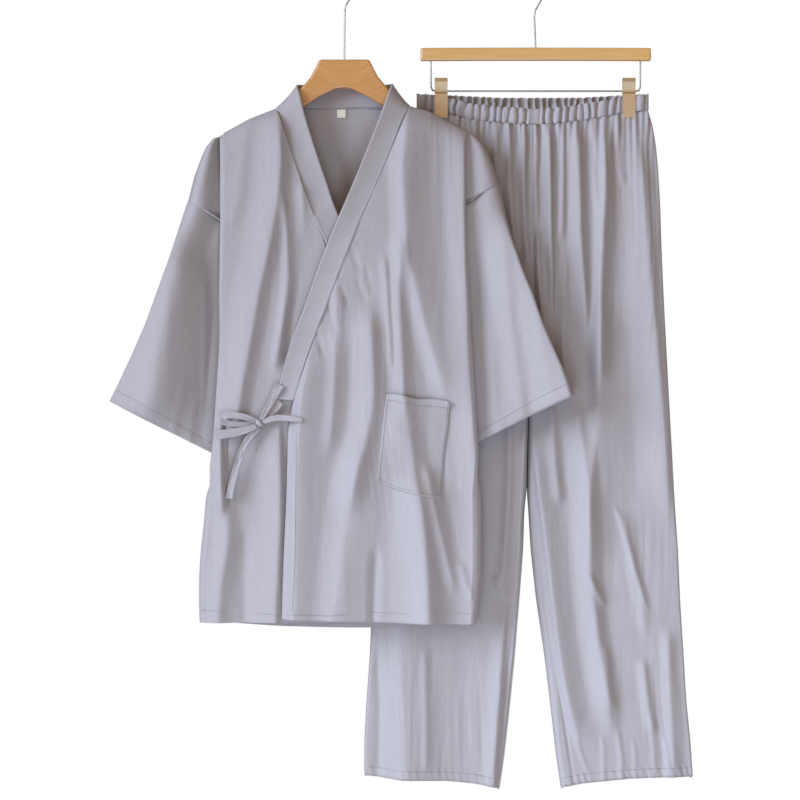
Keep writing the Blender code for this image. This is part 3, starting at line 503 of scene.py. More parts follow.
WRAP_FOLDS = [
    (15, 36, 5.0, (411, 92), (408, 118), (406, 140), (403, 165), (404, 185), (406, 225), (409, 262),
     (416, 285), (422, 310), (429, 340), (436, 362), (444, 390), (453, 420)),
    (20, 8, 3.4, (456, 104), (460, 125), (463, 150), (464, 200), (465, 260), (466, 330), (470, 400),
     (474, 450), (477, 500), (478, 560), (476, 610), (474, 670)),
    (13, 11, 3.4, (397, 225), (400, 250), (399, 290), (400, 320), (402, 360), (404, 395), (408, 430)),
    (24, 16, 4.0, (404, 388), (407, 425), (412, 455), (417, 485), (422, 515), (425, 545), (427, 580),
     (428, 620), (428, 680)),
    (32, 24, 6.4, (415, 465), (421, 500), (424, 540), (427, 580), (429, 620), (429, 690)),
    (9, 13, 3.2, (424, 455), (431, 490), (440, 530), (448, 566), (456, 600)),
    (8, 4, 1.6, (384, 250), (386, 275), (388, 310), (390, 345), (391, 375)),
    (22, 14, 4.8, (369, 300), (371, 330), (372, 360), (373, 390), (372, 410), (366, 440), (357, 470),
     (352, 500), (349, 520)),
    (22, 38, 4.6, (366, 430), (357, 470), (352, 500), (347, 530), (343, 560), (340, 590), (334, 630),
     (330, 680)),
    (10, 13, 2.2, (337, 270), (338, 300), (337, 340), (335, 380), (333, 420), (328, 460)),
    (9, 42, 6.6, (318, 330), (303, 390), (298, 450), (296, 520), (294, 600), (293, 690)),
    (8, 8, -2.0, (376, 540), (374, 590), (372, 680)),
    (7, 7, 1.5, (460, 560), (466, 585), (476, 604)),
    (5, 5, -0.8, (352, 250), (356, 262), (361, 276)),
    (5, 5, -0.7, (357, 276), (361, 290), (366, 304)),
    (5, 5, -0.7, (365, 264), (369, 280), (373, 296)),
    (4, 5, -1.2, (329, 306), (332, 320), (337, 338)),
    (4, 5, -1.1, (317, 332), (320, 344), (324, 358)),
    (4, 5, -1.0, (340, 284), (344, 296), (349, 310)),
]
BACK_FOLDS = [
    (24, 22, 4.0, (252, 150), (246, 300), (243, 420)),
    (30, 26, -3.0, (284, 150), (282, 300), (284, 470)),
    (34, 28, 3.4, (322, 120), (318, 360), (314, 680)),
    (22, 26, -3.2, (360, 170), (364, 400), (364, 680)),
    (26, 30, 3.8, (402, 150), (408, 380), (414, 680)),
    (20, 20, -3.0, (438, 150), (446, 300), (450, 470)),
    (26, 20, 3.8, (238, 440), (234, 560), (236, 680)),
    (18, 22, -3.0, (276, 440), (278, 560), (276, 680)),
    (20, 24, 3.4, (448, 440), (454, 560), (456, 680)),
]


# %% [markdown]
# The depth of a body piece is the hanger's own crown, plus its folds. The wrapped front is lifted
# clear of the one it covers, and at the hem the cloth is doubled, with a slight groove where it is
# sewn.

# %% Depths of the body
HEM_STITCH_Z = spot(0, 611.5)[1]


def crown(x, rise):
    """The body's depth across its width, fullest at the middle."""
    return SIDE_DEPTH + rise * np.clip(1.0 - (x / HALF_WIDTH) ** 2, 0.0, None)


def hem_ridge(z, line):
    """The doubled hem below its stitching, and the groove that the stitching draws in."""
    return 0.0006 * smooth((line - z) / 0.003) - 0.0007 * np.exp(-((z - line) / 0.0022) ** 2)


def crumple(x, z, seed, much=0.0006):
    """Slight uneven waves that every hung cloth has."""
    wide = wander(x, z, 0.030, 0.110, seed)
    lean = x + 0.012 * wander(x, z, 0.060, 0.200, seed + 2)
    fine = 0.5 - np.abs(wander(lean, z, 0.0070, 0.120, seed + 3))
    tiny = 0.5 - np.abs(wander(lean, z, 0.0042, 0.060, seed + 4))
    where = smooth(0.5 + 0.9 * wander(x, z, 0.050, 0.120, seed + 5))
    waves = wide + 0.45 * wander(x, z, 0.011, 0.045, seed + 1)
    return much * (waves + (1.1 * fine + 0.4 * tiny) * where)


def hem_ripple(x, z, line, seed):
    """The uneven ripples of a doubled hem below its stitching."""
    lean = x + 0.35 * (z - line) + 0.002 * wander(x, z, 0.015, 0.05, seed)
    return 0.0009 * np.sin(lean / 0.0105 * 2.0 * math.pi) * smooth((line + 0.002 - z) / 0.004) * (
        0.6 + 0.4 * wander(x, z * 0.0, 0.02, 1.0, seed + 1))


def hung_depth(base, x, z, folds, much, seed):
    """A plain depth with its folds, its crumple and its doubled hem."""
    return base + much * relief(folds, x, z) + crumple(x, z, seed) + hem_ridge(z, HEM_STITCH_Z)


def under_depth(x, z):
    """The covered front: flat where the other front wraps over it."""
    covered = smooth((x + 0.088) / 0.030) * smooth((-0.32 - z) / 0.08)
    depth = hung_depth(crown(x, FRONT_CROWN), x, z, UNDER_FOLDS, JACKET_FOLDS, 11)
    return depth * (1.0 - covered) + (SIDE_DEPTH + 0.0008) * covered


def wrap_depth(x, z):
    """The wrapped front, lifted clear of the one it covers."""
    lift = WRAP_LIFT * smooth((0.125 - x) / 0.055) * smooth((-0.20 - z) / 0.12)
    return hung_depth(crown(x, FRONT_CROWN) + lift, x, z, WRAP_FOLDS, JACKET_FOLDS, 21)


def back_depth(x, z):
    """The back, which hangs nearly flat."""
    return hung_depth(crown(x, BACK_CROWN), x, z, BACK_FOLDS, 1.0, 31)


def shoulder_rise(x, z):
    """0 on the shoulder line, 1 where the cloth hangs clear of the hanger's round."""
    return rounded((line_z(SHOULDER, x) - z) / SHOULDER_ROUND)


def on_body(depth_at, x, z):
    """A body piece's depth, brought in where it turns over the shoulder."""
    return depth_at(x, z) * np.maximum(shoulder_rise(x, z), LEAST_RISE)


# %% [markdown]
# The rows of a body piece are closer at the shoulder, where the cloth turns over the hanger, and even
# below it. `side_points` takes each row round its fold and on to the piece's real edge behind it.

# %% Rows of a body piece
CAP_ROW = 5.0       # the table's row just above the armhole seam
SLEEVE_ROW = 6.0    # and the one just below it
CAP_EDGE = {}


def fine_levels(side, step):
    """Places down a side's table: close over the shoulder and then one step apart."""
    count = len(side["fold_z"])
    even = np.arange(side["fold_z"][3] - step, side["fold_z"][-1], -step)
    lower = np.interp(-even, -side["fold_z"], np.arange(count))
    lower = lower[((lower < CAP_ROW - 0.02) | (lower > SLEEVE_ROW + 0.02)) & (lower < count - 1.02)]
    upper = [0, 0.25, 0.5, 0.75, 1, 1.3, 1.6, 2, 2.25, 2.5, 2.75, 3]
    return np.sort(np.concatenate([upper, lower, [CAP_ROW, CAP_ROW + 0.04, SLEEVE_ROW, count - 1.0]]))


def column(side, name, levels):
    """One column of a side's table, read between its rows."""
    return np.interp(levels, np.arange(len(side[name])), side[name])


def side_points(side, levels, face, depth_at, dip):
    """The ends of body rows: round the fold, then behind it to the piece's real edge."""
    out = math.copysign(1.0, side["fold_x"][0])
    fold_x, fold_z = column(side, "fold_x", levels), column(side, "fold_z", levels)
    soft = running_mean(fold_x, 6)
    fold_x = soft + wander(fold_z * 0.0, fold_z, 1.0, 0.06, 5 + int(out > 0)) * 0.0008
    rise = shoulder_rise(fold_x * 0.98, fold_z)
    depth = depth_at(fold_x, fold_z) * np.maximum(rise, 0.05)
    turn = FOLD_TURN * rise
    edge = np.stack([column(side, name, levels) for name in ("edge_x", "edge_z", "edge_y")])
    reach = FOLD_REACH if out < 0 else 0.5 * FOLD_REACH
    inner_x = fold_x - out * reach
    points = []
    for k in range(7):
        angle = math.pi * k / 6.0
        x = inner_x + out * (reach - 0.0006) * math.sin(angle)
        points.append(np.stack([x, fold_z, depth - turn * (1.0 - math.cos(angle)) * 0.5]))
    under = points[-1]
    cap = dip * (1.0 - smooth(levels - CAP_ROW))
    for k in range(1, 11):
        part = k / 10.0
        bend = math.sqrt(1.0 - part**4) * (1.0 - cap * (1.0 - smooth(part / 0.85)))
        x, z = under[:2] + (edge[:2] - under[:2]) * part
        swell = cap * CAP_SWELL * math.sin(math.pi * part**1.6) if face < 0 and out < 0 else 0.0
        points.append(np.stack([x, z, edge[2] + (under[2] - edge[2]) * bend + swell]))
    plain = []
    for k in range(17):
        angle = 0.5 * math.pi * k / 16.0
        x = fold_x - out * 0.010 * (1.0 - math.sin(angle))
        plain.append(np.stack([x, fold_z, edge[2] + (depth - edge[2]) * math.cos(angle)]))
    tuck = np.interp(levels, np.arange(len(TUCK)), TUCK)
    mixed = np.array(points) * tuck + np.array(plain) * (1.0 - tuck)
    mixed[7:, 2, (levels > CAP_ROW) & (levels < SLEEVE_ROW)] -= 0.0010
    row = int(np.argmin(np.abs(levels - CAP_ROW)))
    CAP_EDGE[out, face] = mixed[7:, 0, row] * out, mixed[7:, 2, row]
    return np.stack([mixed[:, 0].T, face * mixed[:, 2].T, mixed[:, 1].T], axis=2)


def front_rows(side, edge, depth_at, columns):
    """Rows of a front, from its neckline or front edge out to its side."""
    levels = fine_levels(side, 0.0040)
    ends = side_points(side, levels, -1.0, depth_at, FRONT_CAP_DIP[side is RIGHT_SIDE])
    fold_z = column(side, "fold_z", levels)
    start_x, start_z = [running_mean(at_height(edge, name, fold_z, "fold_z"), 4)[:, None] for name in "xz"]
    part = np.arange(columns)[None, :] / columns
    x = start_x + (ends[:, :1, 0] - start_x) * part
    z = start_z + (ends[:, :1, 2] - start_z) * part
    top = line_z(SHOULDER, x)
    first = np.clip(levels, 0.0, 1.0)[:, None]
    z = top * (1.0 - first) + z * first
    held = np.interp(levels, (0, 1, 2, 3, 4), (0, 0.0022, 0.0085, 0.0165, 0.0))[:, None]
    z = np.minimum(z, top - held)
    body = np.stack([x, -on_body(depth_at, x, z), z], axis=2)
    return np.concatenate([body, ends], axis=1)


under_rows = front_rows(LEFT_SIDE, UNDER_EDGE, under_depth, 96)
add_sheet("jacket_front_under", under_rows)
wrap_rows = front_rows(RIGHT_SIDE, WRAP_EDGE, wrap_depth, 150)
add_sheet("jacket_front_wrap", wrap_rows)

# %% [markdown]
# The back is one piece, cut whole from shoulder to shoulder. It shows through the neck, and a little of
# its hem shows below the fronts.

# %% The jacket's back
def back_rows(columns, step):
    """Rows of the back, from one side to the other under the neck seam."""
    levels = fine_levels(LEFT_SIDE, step)
    sides = (LEFT_SIDE, RIGHT_SIDE)
    left, right = [side_points(side, levels, 1.0, back_depth, BACK_CAP_DIP) for side in sides]
    left_z, right_z = [column(side, "fold_z", levels)[:, None] for side in sides]
    part = (np.arange(1, columns) / columns)[None, :]
    x = left[:, :1, 0] + (right[:, :1, 0] - left[:, :1, 0]) * part
    below = levels[:, None] / (len(TUCK) - 1.0)
    arch = smooth(1.0 - (LEFT_SIDE["fold_z"][0] - left_z) / 0.20)
    z = left_z + (right_z - left_z) * part
    z = z + (line_z(SHOULDER, x) - np.interp(part, (0, 1), (-0.237, -0.231))) * arch
    z = z - 0.008 * np.sin(math.pi * part) * below
    neck = 1.0 - smooth((np.abs(x) - 0.088) / 0.014)
    near = np.maximum(np.maximum(shoulder_rise(x, z), LEAST_RISE), neck)
    body = np.stack([x, near * back_depth(x, z), z], axis=2)
    return np.concatenate([left[:, ::-1], body, right], axis=1)


add_sheet("jacket_back", back_rows(110, 0.0055))

# %% [markdown]
# ## The sleeves
# A kimono sleeve is a wide flat tube, sewn to the armhole and open at the cuff. Its places are worked
# out inside four edges that meet at the corners: the armhole, the outer edge, the cuff, and the seam
# that hangs behind the body. The front of the tube has the folds, and the back has similar ones.

# %% Sleeves
SLEEVE_DEPTH = 0.0092
SLEEVE_ACROSS = 61
LEFT_OUTLINE = [(187, 205), (177, 235), (167, 265), (156, 295), (145, 325), (132, 355), (118, 385),
                (110, 401)]
RIGHT_OUTLINE = [(504.5, 211), (512, 238), (523, 270), (532, 291), (543.5, 324), (553, 346), (564, 370),
                 (574, 394.5)]
LEFT_SLEEVE_FOLDS = [
    (42, 56, 27.0, (196, 170), (187, 240), (175, 290), (164, 340), (154, 390), (146, 440)),
    (50, 34, -22.0, (227, 150), (227, 230), (226, 290), (225, 350), (222, 400), (222, 490)),
    (6, 5, 1.0, (204, 260), (205, 320), (204, 380), (205, 470)),
    (5, 6, 1.2, (184, 380), (179, 405), (172, 440)),
    (5, 6, 1.2, (197, 396), (192, 420), (188, 450)),
]
RIGHT_SLEEVE_FOLDS = [
    (30, 22, -9.0, (466, 150), (469, 260), (473, 330), (476, 400), (478, 490)),
    (52, 5, 19.0, (505, 190), (517, 240), (533, 290), (552, 340), (568, 390), (583, 440)),
    (19, 10, 3.6, (499, 200), (503, 250), (508, 310), (514, 350), (519, 390), (524, 440)),
    (8, 8, 1.3, (486, 310), (490, 350), (495, 400), (502, 450)),
    (13, 12, 1.6, (528, 290), (540, 340), (551, 400), (554, 430)),
    (5, 5, -1.0, (466, 140), (480, 170), (488, 200)),
]


def edge_patch(top, low, outer, inner, across, down):
    """Places inside four edges that meet at the corners, each a list of (x, z)."""

    def on(edge, part):
        edge = np.array(edge, float)
        far = distances(edge)
        return read_run(edge, far / far[-1], part)

    s, t = np.array(across)[None, :, None], np.array(down)[:, None, None]
    flat = (1 - t) * on(top, across)[None] + t * on(low, across)[None]
    flat = flat + (1 - s) * on(outer, down)[:, None] + s * on(inner, down)[:, None]
    top_left, top_right, low_left, low_right = on(top, 0.0), on(top, 1.0), on(low, 0.0), on(low, 1.0)
    flat = flat - (1 - s) * ((1 - t) * top_left + t * low_left)
    return flat - s * ((1 - t) * top_right + t * low_right)


def sleeve_rows(side, outline, cuff_end, folds, seed):
    """Rows of a sleeve tube, from the armhole to the cuff, front and then back."""
    out = math.copysign(1.0, side["fold_x"][0])
    corner = (side["edge_x"][5] - out * 0.0009, side["edge_z"][5] + 0.0032)
    turn = (side["fold_x"][5] + out * 0.0010, side["fold_z"][5] + 0.0034)
    armhole = [corner, turn, (side["fold_x"][6] - out * 0.0060, side["edge_z"][6])]
    for row in (7, 8, 9):
        armhole.append((side["edge_x"][row] + out * 0.0012, side["edge_z"][row] - 0.0006))
    outline = [spot(*place) for place in outline]
    across = closer_at_ends(SLEEVE_ACROSS)
    down = np.concatenate([[0.0, 0.01, 0.025], np.linspace(0.05, 1.0, 66)])
    cuff, under_arm = [outline[-1], cuff_end], [armhole[-1], cuff_end]
    places = edge_patch(armhole, cuff, [corner] + outline, under_arm, across, down)
    x, z = places[..., 0], places[..., 1]
    down = down[:, None]
    round_off = rounded(np.minimum(across / 0.015, (1.0 - across) / 0.08))[None, :]
    leave = smooth(down / 0.35)
    sunk = 0.0018 * (1.0 - smooth(down / 0.022))
    halves = []
    for face, moved, much, least, other in ((-1.0, 0.0, 1.0, -0.0035, 0), (1.0, 0.012, 0.5, 0.0062, 7)):
        depth = SLEEVE_DEPTH + relief(folds, x + moved, z) * smooth(down / 0.30) * much
        depth = depth + crumple(x, z, seed + other) + 0.0007 * smooth((down - 0.935) / 0.02)
        at_seam = np.interp(out * x[:1], *CAP_EDGE[out, face])
        depth = np.maximum(depth, least) * round_off * leave + at_seam * (1.0 - leave)
        halves.append(np.stack([x, face * (depth - sunk), z], axis=2))
    return np.concatenate([halves[0], halves[1][:, -2:0:-1]], axis=1)


SLEEVES = {
    "sleeve_left": (LEFT_SIDE, LEFT_OUTLINE, (-0.161, -0.7015), LEFT_SLEEVE_FOLDS, 41),
    "sleeve_right": (RIGHT_SIDE, RIGHT_OUTLINE, (0.159, -0.6865), RIGHT_SLEEVE_FOLDS, 51),
}
for name, sleeve in SLEEVES.items():
    add_sheet(name, sleeve_rows(*sleeve), closed=True)

# %% [markdown]
# ## The neckband
# One long strip, folded double, is sewn round the neck and down the wrapped front. Being doubled, it is
# thicker than the fronts and its free edge is a soft round fold. The table gives the free edge and the
# seam along its run, and a smooth curve is drawn through both.

# %% Neckband
NECKBAND = table(
    "free_x free_z free_y seam_x seam_z seam_y",
    (94, -612, -17.0, 61, -619, -17.0), (62, -526, -17.5, 30, -537, -17.5),
    (32, -446, -18.0, 0, -457, -18.0), (8, -384, -18.5, -24, -394, -18.5),
    (-12, -342, -19.0, -43, -351, -19.0), (-25, -304, -19.0, -57, -313, -19.0),
    (-41, -257, -22.0, -74, -266, -18.5), (-55, -212, -21.5, -88, -222, -17.0),
    (-63, -180, -17.0, -95, -203, -12.0), (-67, -167, -6.0, -95.5, -197.5, -5.0),
    (-67, -164, 2.0, -95, -197, 2.0), (-64, -163.5, 10.0, -90, -196.5, 12.5),
    (-50, -163, 15.0, -62, -196.7, 18.2), (-26, -163, 17.5, -31, -196.7, 18.9),
    (0, -163, 18.0, 0, -196.7, 19.0), (26, -163, 17.5, 29, -196.7, 18.9),
    (50, -163, 15.0, 60, -196.5, 18.2), (63, -163, 10.0, 87, -195, 12.5),
    (67, -163.5, 2.0, 91, -194, 2.0), (66, -166, -6.0, 91, -195, -5.0),
    (61, -180, -16.5, 90, -202, -12.0), (53, -204, -22.0, 83, -217, -17.5),
    (37, -246, -26.0, 66.5, -259, -21.5), (16, -298, -28.5, 45.5, -309, -24.5),
    (-8, -354, -29.5, 21, -363, -26.5), (-32, -413, -27.0, -2, -420, -27.0),
    (-57, -483, -27.0, -28, -488, -27.0), (-76, -534, -26.5, -46.5, -537, -26.5),
    (-97, -610, -26.0, -71.5, -613, -26.0),
)


def smooth_run(points, spacing):
    """A smooth curve through points, read off at an even spacing."""
    points = np.array(points, float)
    ends = np.concatenate([[2 * points[0] - points[1]], points, [2 * points[-1] - points[-2]]])
    made = []
    for k in range(len(points) - 1):
        a, b, c, d = ends[k:k + 4]
        for t in np.linspace(0.0, 1.0, 12, endpoint=False):
            made.append(0.5 * (2 * b + (c - a) * t + (2 * a - 5 * b + 4 * c - d) * t**2
                               + (3 * b - a - 3 * c + d) * t**3))
    made = np.array(made + [points[-1]])
    far = distances(made)
    return read_run(made, far, np.linspace(0.0, far[-1], max(int(far[-1] / spacing), 2) + 1))


def neckband_rows():
    """Rows across the neckband, from its free edge to its seam."""
    both = np.stack([NECKBAND[side + "_" + axis] for side in ("free", "seam") for axis in "xyz"], axis=1)
    both = smooth_run(both, 0.005)
    free, seam = both[:, :3], both[:, 3:]
    seam = seam - (free - seam) / np.linalg.norm(free - seam, axis=1)[:, None] * 0.0006
    x, y, z = seam.T
    on_under = np.arange(len(seam)) < len(seam) // 2
    surface = -np.where(on_under, on_body(under_depth, x, z), on_body(wrap_depth, x, z)) - 0.0007
    laid = smooth((-0.006 - y) / 0.008) * smooth((z + 0.620) / -0.02 + 1.0)
    seam = np.stack([x, y + (surface - y) * laid, z], axis=1)
    part = np.linspace(0.0, 1.0, 15)[None, :, None]
    width = (seam - free)[:, None]
    rows = free[:, None] + width * part
    run = np.gradient(rows, axis=0)
    outward = np.cross(width, run)
    outward /= np.linalg.norm(outward, axis=2)[:, :, None]
    away = np.cumsum(np.linalg.norm(run[:, 0], axis=1))[:, None]
    across = part[..., 0]
    crowned = 0.0010 * np.sin(math.pi * across) - 0.0009 * smooth((across - 0.86) / 0.14)
    pucker = 0.0009 * wander(across * 0.03, away + across * 0.02, 0.030, 0.016, 61) * across
    wave = 0.0011 * wander(across * 0.03, away, 0.050, 0.060, 62)
    return rows + outward * (crowned + pucker + wave)[..., None]


add_sheet("neckband", neckband_rows(),
          wall=0.0019)

# %% [markdown]
# ## Pocket
# The patch pocket lies on the wrapped front, so it is made from that front's own places, moved out. Its
# mouth has a doubled hem that gapes a little, and one corner turns out like a dog-ear.

# %% Patch pocket
POCKET_TOP = [(387, 393.5), (398, 394), (410, 397), (418, 399), (430, 398.5), (443, 400), (450, 402)]
POCKET_LOW = [(376.5, 480), (390, 487), (400, 490), (415, 494), (430, 497), (441, 498.5)]
POCKET_LEFT = [(387, 393.5), (385, 405), (382, 430), (380, 450), (378, 468), (376.5, 480)]
POCKET_RIGHT = [(450, 402), (448.5, 425), (446, 440), (444, 455), (442.5, 480), (441, 498.5)]


def pocket_rows():
    """Rows of the pocket, from its mouth down."""
    edges = (POCKET_TOP, POCKET_LOW, POCKET_LEFT, POCKET_RIGHT)
    edges = [[spot(*place) for place in edge] for edge in edges]
    across, down = np.linspace(0.0, 1.0, 56), np.linspace(0.0, 1.0, 66)
    places = edge_patch(*edges, across, down)
    x, z = places[..., 0], places[..., 1]
    s, t = across[None, :], down[:, None]
    edge = np.minimum(np.minimum(s, 1.0 - s) * 2.4, (1.0 - t) * 3.0)
    hem = 0.0006 * (1.0 - smooth((t - 0.075) / 0.015))
    gape = 0.0030 * (1.0 - smooth(t / 0.16)) * np.sin(math.pi * s) ** 0.8
    swell = 0.0012 * smooth(edge / 0.5) + 0.0012 * smooth(edge / 0.06)
    ear = 0.0040 * smooth((s - 0.90) / 0.10) * (1.0 - smooth(t / 0.09))
    out = 0.0010 + swell + hem + gape + ear + crumple(x, z, 71, 0.0004)
    return np.stack([x, -wrap_depth(x, z) - out, z], axis=2)


add_sheet("pocket", pocket_rows())

# %% [markdown]
# ## The bow
# Two narrow ties, each folded and sewn flat, are tied at the neckband's end. Each visible run is a
# strip: a row for each place along it, its width, and a slight hollow across it. The knot is a pulled
# wrap of the same cloth, so it is a ball drawn in at the middle and scored by its turns.

# %% Ties and knot
TIES = {
    "tie_collar": table("x y z wide", (-90, -27.6, -590, 13), (-97, -28.3, -603, 11),
                        (-103, -28.8, -615, 9), (-110, -30.0, -627, 8), (-117, -31.5, -640, 6)),
    "tie_arm": table("x y z wide", (-114, -33.5, -643, 6), (-104, -34.5, -639, 7.5), (-93, -37.0, -637, 8),
                     (-80, -41.0, -637.5, 8), (-68, -44.0, -639, 8), (-58, -44.5, -640.5, 7.5)),
    "tie_loop": table("x y z wide", (-124, -33.5, -641.5, 6), (-133, -35.0, -638.0, 8),
                      (-146, -35.5, -634.5, 9), (-158, -34.8, -633.0, 9.5), (-167, -33.2, -634.0, 10),
                      (-170.5, -31.0, -638.5, 10), (-166, -29.0, -644, 9), (-152, -29.0, -646.5, 8),
                      (-138, -29.5, -646.5, 8), (-125, -30.5, -645.5, 6)),
    "tie_tail": table("x y z wide", (-123.5, -34.5, -648.5, 6), (-133, -35.5, -652.5, 9),
                      (-146, -35.5, -656, 11), (-162, -35.0, -659, 12.5), (-181, -34.5, -661.5, 14)),
    "tie_drop": table("x y z wide", (-119, -33.0, -650.5, 6), (-127, -32.5, -658, 8),
                      (-136, -32.0, -668, 8.5), (-143, -31.5, -682, 8.5), (-149, -31.0, -700, 9),
                      (-155, -31.0, -720, 10), (-160, -31.0, -742, 10), (-161.5, -31.0, -751, 10)),
    "tie_side": table("x y z wide", (-114, -30.4, -642, 6), (-107, -28.2, -634, 9), (-98, -26.2, -624, 11),
                      (-90, -24.9, -614, 12)),
}
TIE_WALL = 0.0011
KNOT_AT = (-0.1195, -0.0325, -0.6445)


def tie_rows(strip, seed):
    """Rows along a flat tie, its width square to its run, a little hollow and uneven."""
    run = smooth_run(np.stack([strip[name] for name in ("x", "y", "z", "wide")], axis=1), 0.0014)
    centre, wide = run[:, :3], run[:, 3]
    along = np.gradient(centre, axis=0)
    side = np.cross(along, (0.0, 1.0, 0.0))
    side /= np.linalg.norm(side, axis=1)[:, None]
    outward = np.cross(side, along)
    outward /= np.linalg.norm(outward, axis=1)[:, None]
    part = np.linspace(-0.5, 0.5, 9)[None, :]
    far = np.cumsum(np.linalg.norm(along, axis=1))[:, None]
    bend = 0.0011 * wander(part * 0.02, far, 0.006, 0.012, seed) - 0.0035 * part**2
    flat = centre[:, None] + side[:, None] * (wide[:, None] * part)[..., None]
    return flat + outward[:, None] * bend[..., None]


for number, (name, strip) in enumerate(TIES.items()):
    rows = tie_rows(strip, 80 + number)
    add_sheet(name, rows, wall=TIE_WALL)

bpy.ops.object.select_all(action="DESELECT")
bpy.ops.mesh.primitive_uv_sphere_add(segments=28, ring_count=18, radius=0.5, location=KNOT_AT)
knot = bpy.context.object
knot.name = "tie_knot_cloth"
bpy.ops.object.transform_apply(location=True, rotation=False, scale=False)
for point in knot.data.vertices:
    away = np.array(point.co) - np.array(KNOT_AT)
    turn = math.atan2(away[2], away[0])
    wrap = math.exp(-((away[0] * 0.8 + away[2] * 0.5) / 0.20) ** 2)
    score = 0.86 + 0.20 * wrap - 0.14 * abs(math.sin(3.0 * turn + 6.0 * away[1])) * (1.0 - wrap)
    point.co = np.array(KNOT_AT) + away * np.array((0.0140, 0.0092, 0.0120)) * score
chart = knot.data.uv_layers[0]
chart.name = "cloth"
for corner in chart.data:
    corner.uv = (corner.uv[0] * 0.040, corner.uv[1] * 0.020)
knot.data.shade_smooth()
knot.data.materials.append(cloth)
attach(knot, "root")
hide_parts("tie_knot")
print("bow of", len(TIES), "strips and a knot")

# %% [markdown]
# ## The size label
# A bare cream tape, folded and caught in the back neck seam.

# %% Size label
LABEL_Z = (-0.1975, -0.2098)


def label_rows():
    """Rows of the label, just in front of the back's inner face."""
    z, x = np.linspace(*LABEL_Z, 10), np.linspace(-0.0110, 0.0020, 9)
    x, z = np.meshgrid(x, z)
    y = back_depth(x * 0.0, z) - 0.0019 - 0.0006 * np.sin((x + 0.011) / 0.013 * math.pi)
    return np.stack([x, y, z], axis=2)


add_sheet("size_label", label_rows(), wall=0.0006, skin=tape)

# %% [markdown]
# ## The trousers
# Each leg is a front and a back panel. Elastic draws the waist in, so dozens of small folds start at the
# waistband and run together into fewer, broader ones below. Loose at the hip, the legs hang almost
# straight, and near the hem they crumple where they were folded.

# %% Sizes of the trousers
CROTCH_Z = -0.535
HIP_DEPTH = 0.0165
WAIST_DEPTH = 0.0095
CLIP_DEPTH = 0.0026
BAND_HEIGHT = 0.022
CLIP_GRIP = 0.012
SIDE_FLAT = 0.04
CLIP_X = (0.138, 0.408)
LEFT_LEG = table(
    "z inner outer",
    (-200, 268.7, 104.5), (-222, 268.7, 99), (-262, 269.2, 93), (-320, 270.0, 86), (-390, 271.5, 78),
    (-460, 272.5, 70), (-535, 270.0, 62), (-612, 264.0, 56), (-684, 261.9, 51), (-745, 260.7, 46.8),
    (-762, 257.4, 45.8),
    (-828, 255.5, 42), (-900, 250.0, 39), (-979, 243.5, 36), (-1050, 236.0, 31), (-1110, 229.0, 28),
    (-1158, 222.0, 28),
)
RIGHT_LEG = table(
    "z inner outer",
    (-200, 269.3, 434.5), (-222, 269.3, 442), (-262, 269.8, 448), (-320, 270.6, 452), (-390, 272.1, 454),
    (-460, 273.1, 457), (-535, 270.6, 461), (-612, 264.6, 465), (-684, 262.5, 469), (-745, 261.3, 472.3),
    (-762, 263.0, 473.3),
    (-828, 267.0, 478), (-900, 275.0, 481), (-979, 287.0, 486), (-1050, 296.0, 490), (-1110, 303.0, 496),
    (-1158, 310.0, 499),
)
TROUSER_HEM = table(
    "x z",
    (28, -1149), (80, -1155), (146, -1157), (184, -1161), (222, -1168), (266, -1170), (310, -1167),
    (340, -1161), (409, -1154), (499, -1151),
)
BAND_TOP_FRONT = table(
    "x z",
    (103, -173), (151, -179), (179, -187), (223, -192), (270, -195), (309, -193), (366, -184), (396, -178),
    (436, -173),
)
BAND_TOP_BACK = table("x z", (103, -172), (151, -174), (223, -177), (339, -177), (398, -174), (436, -172))

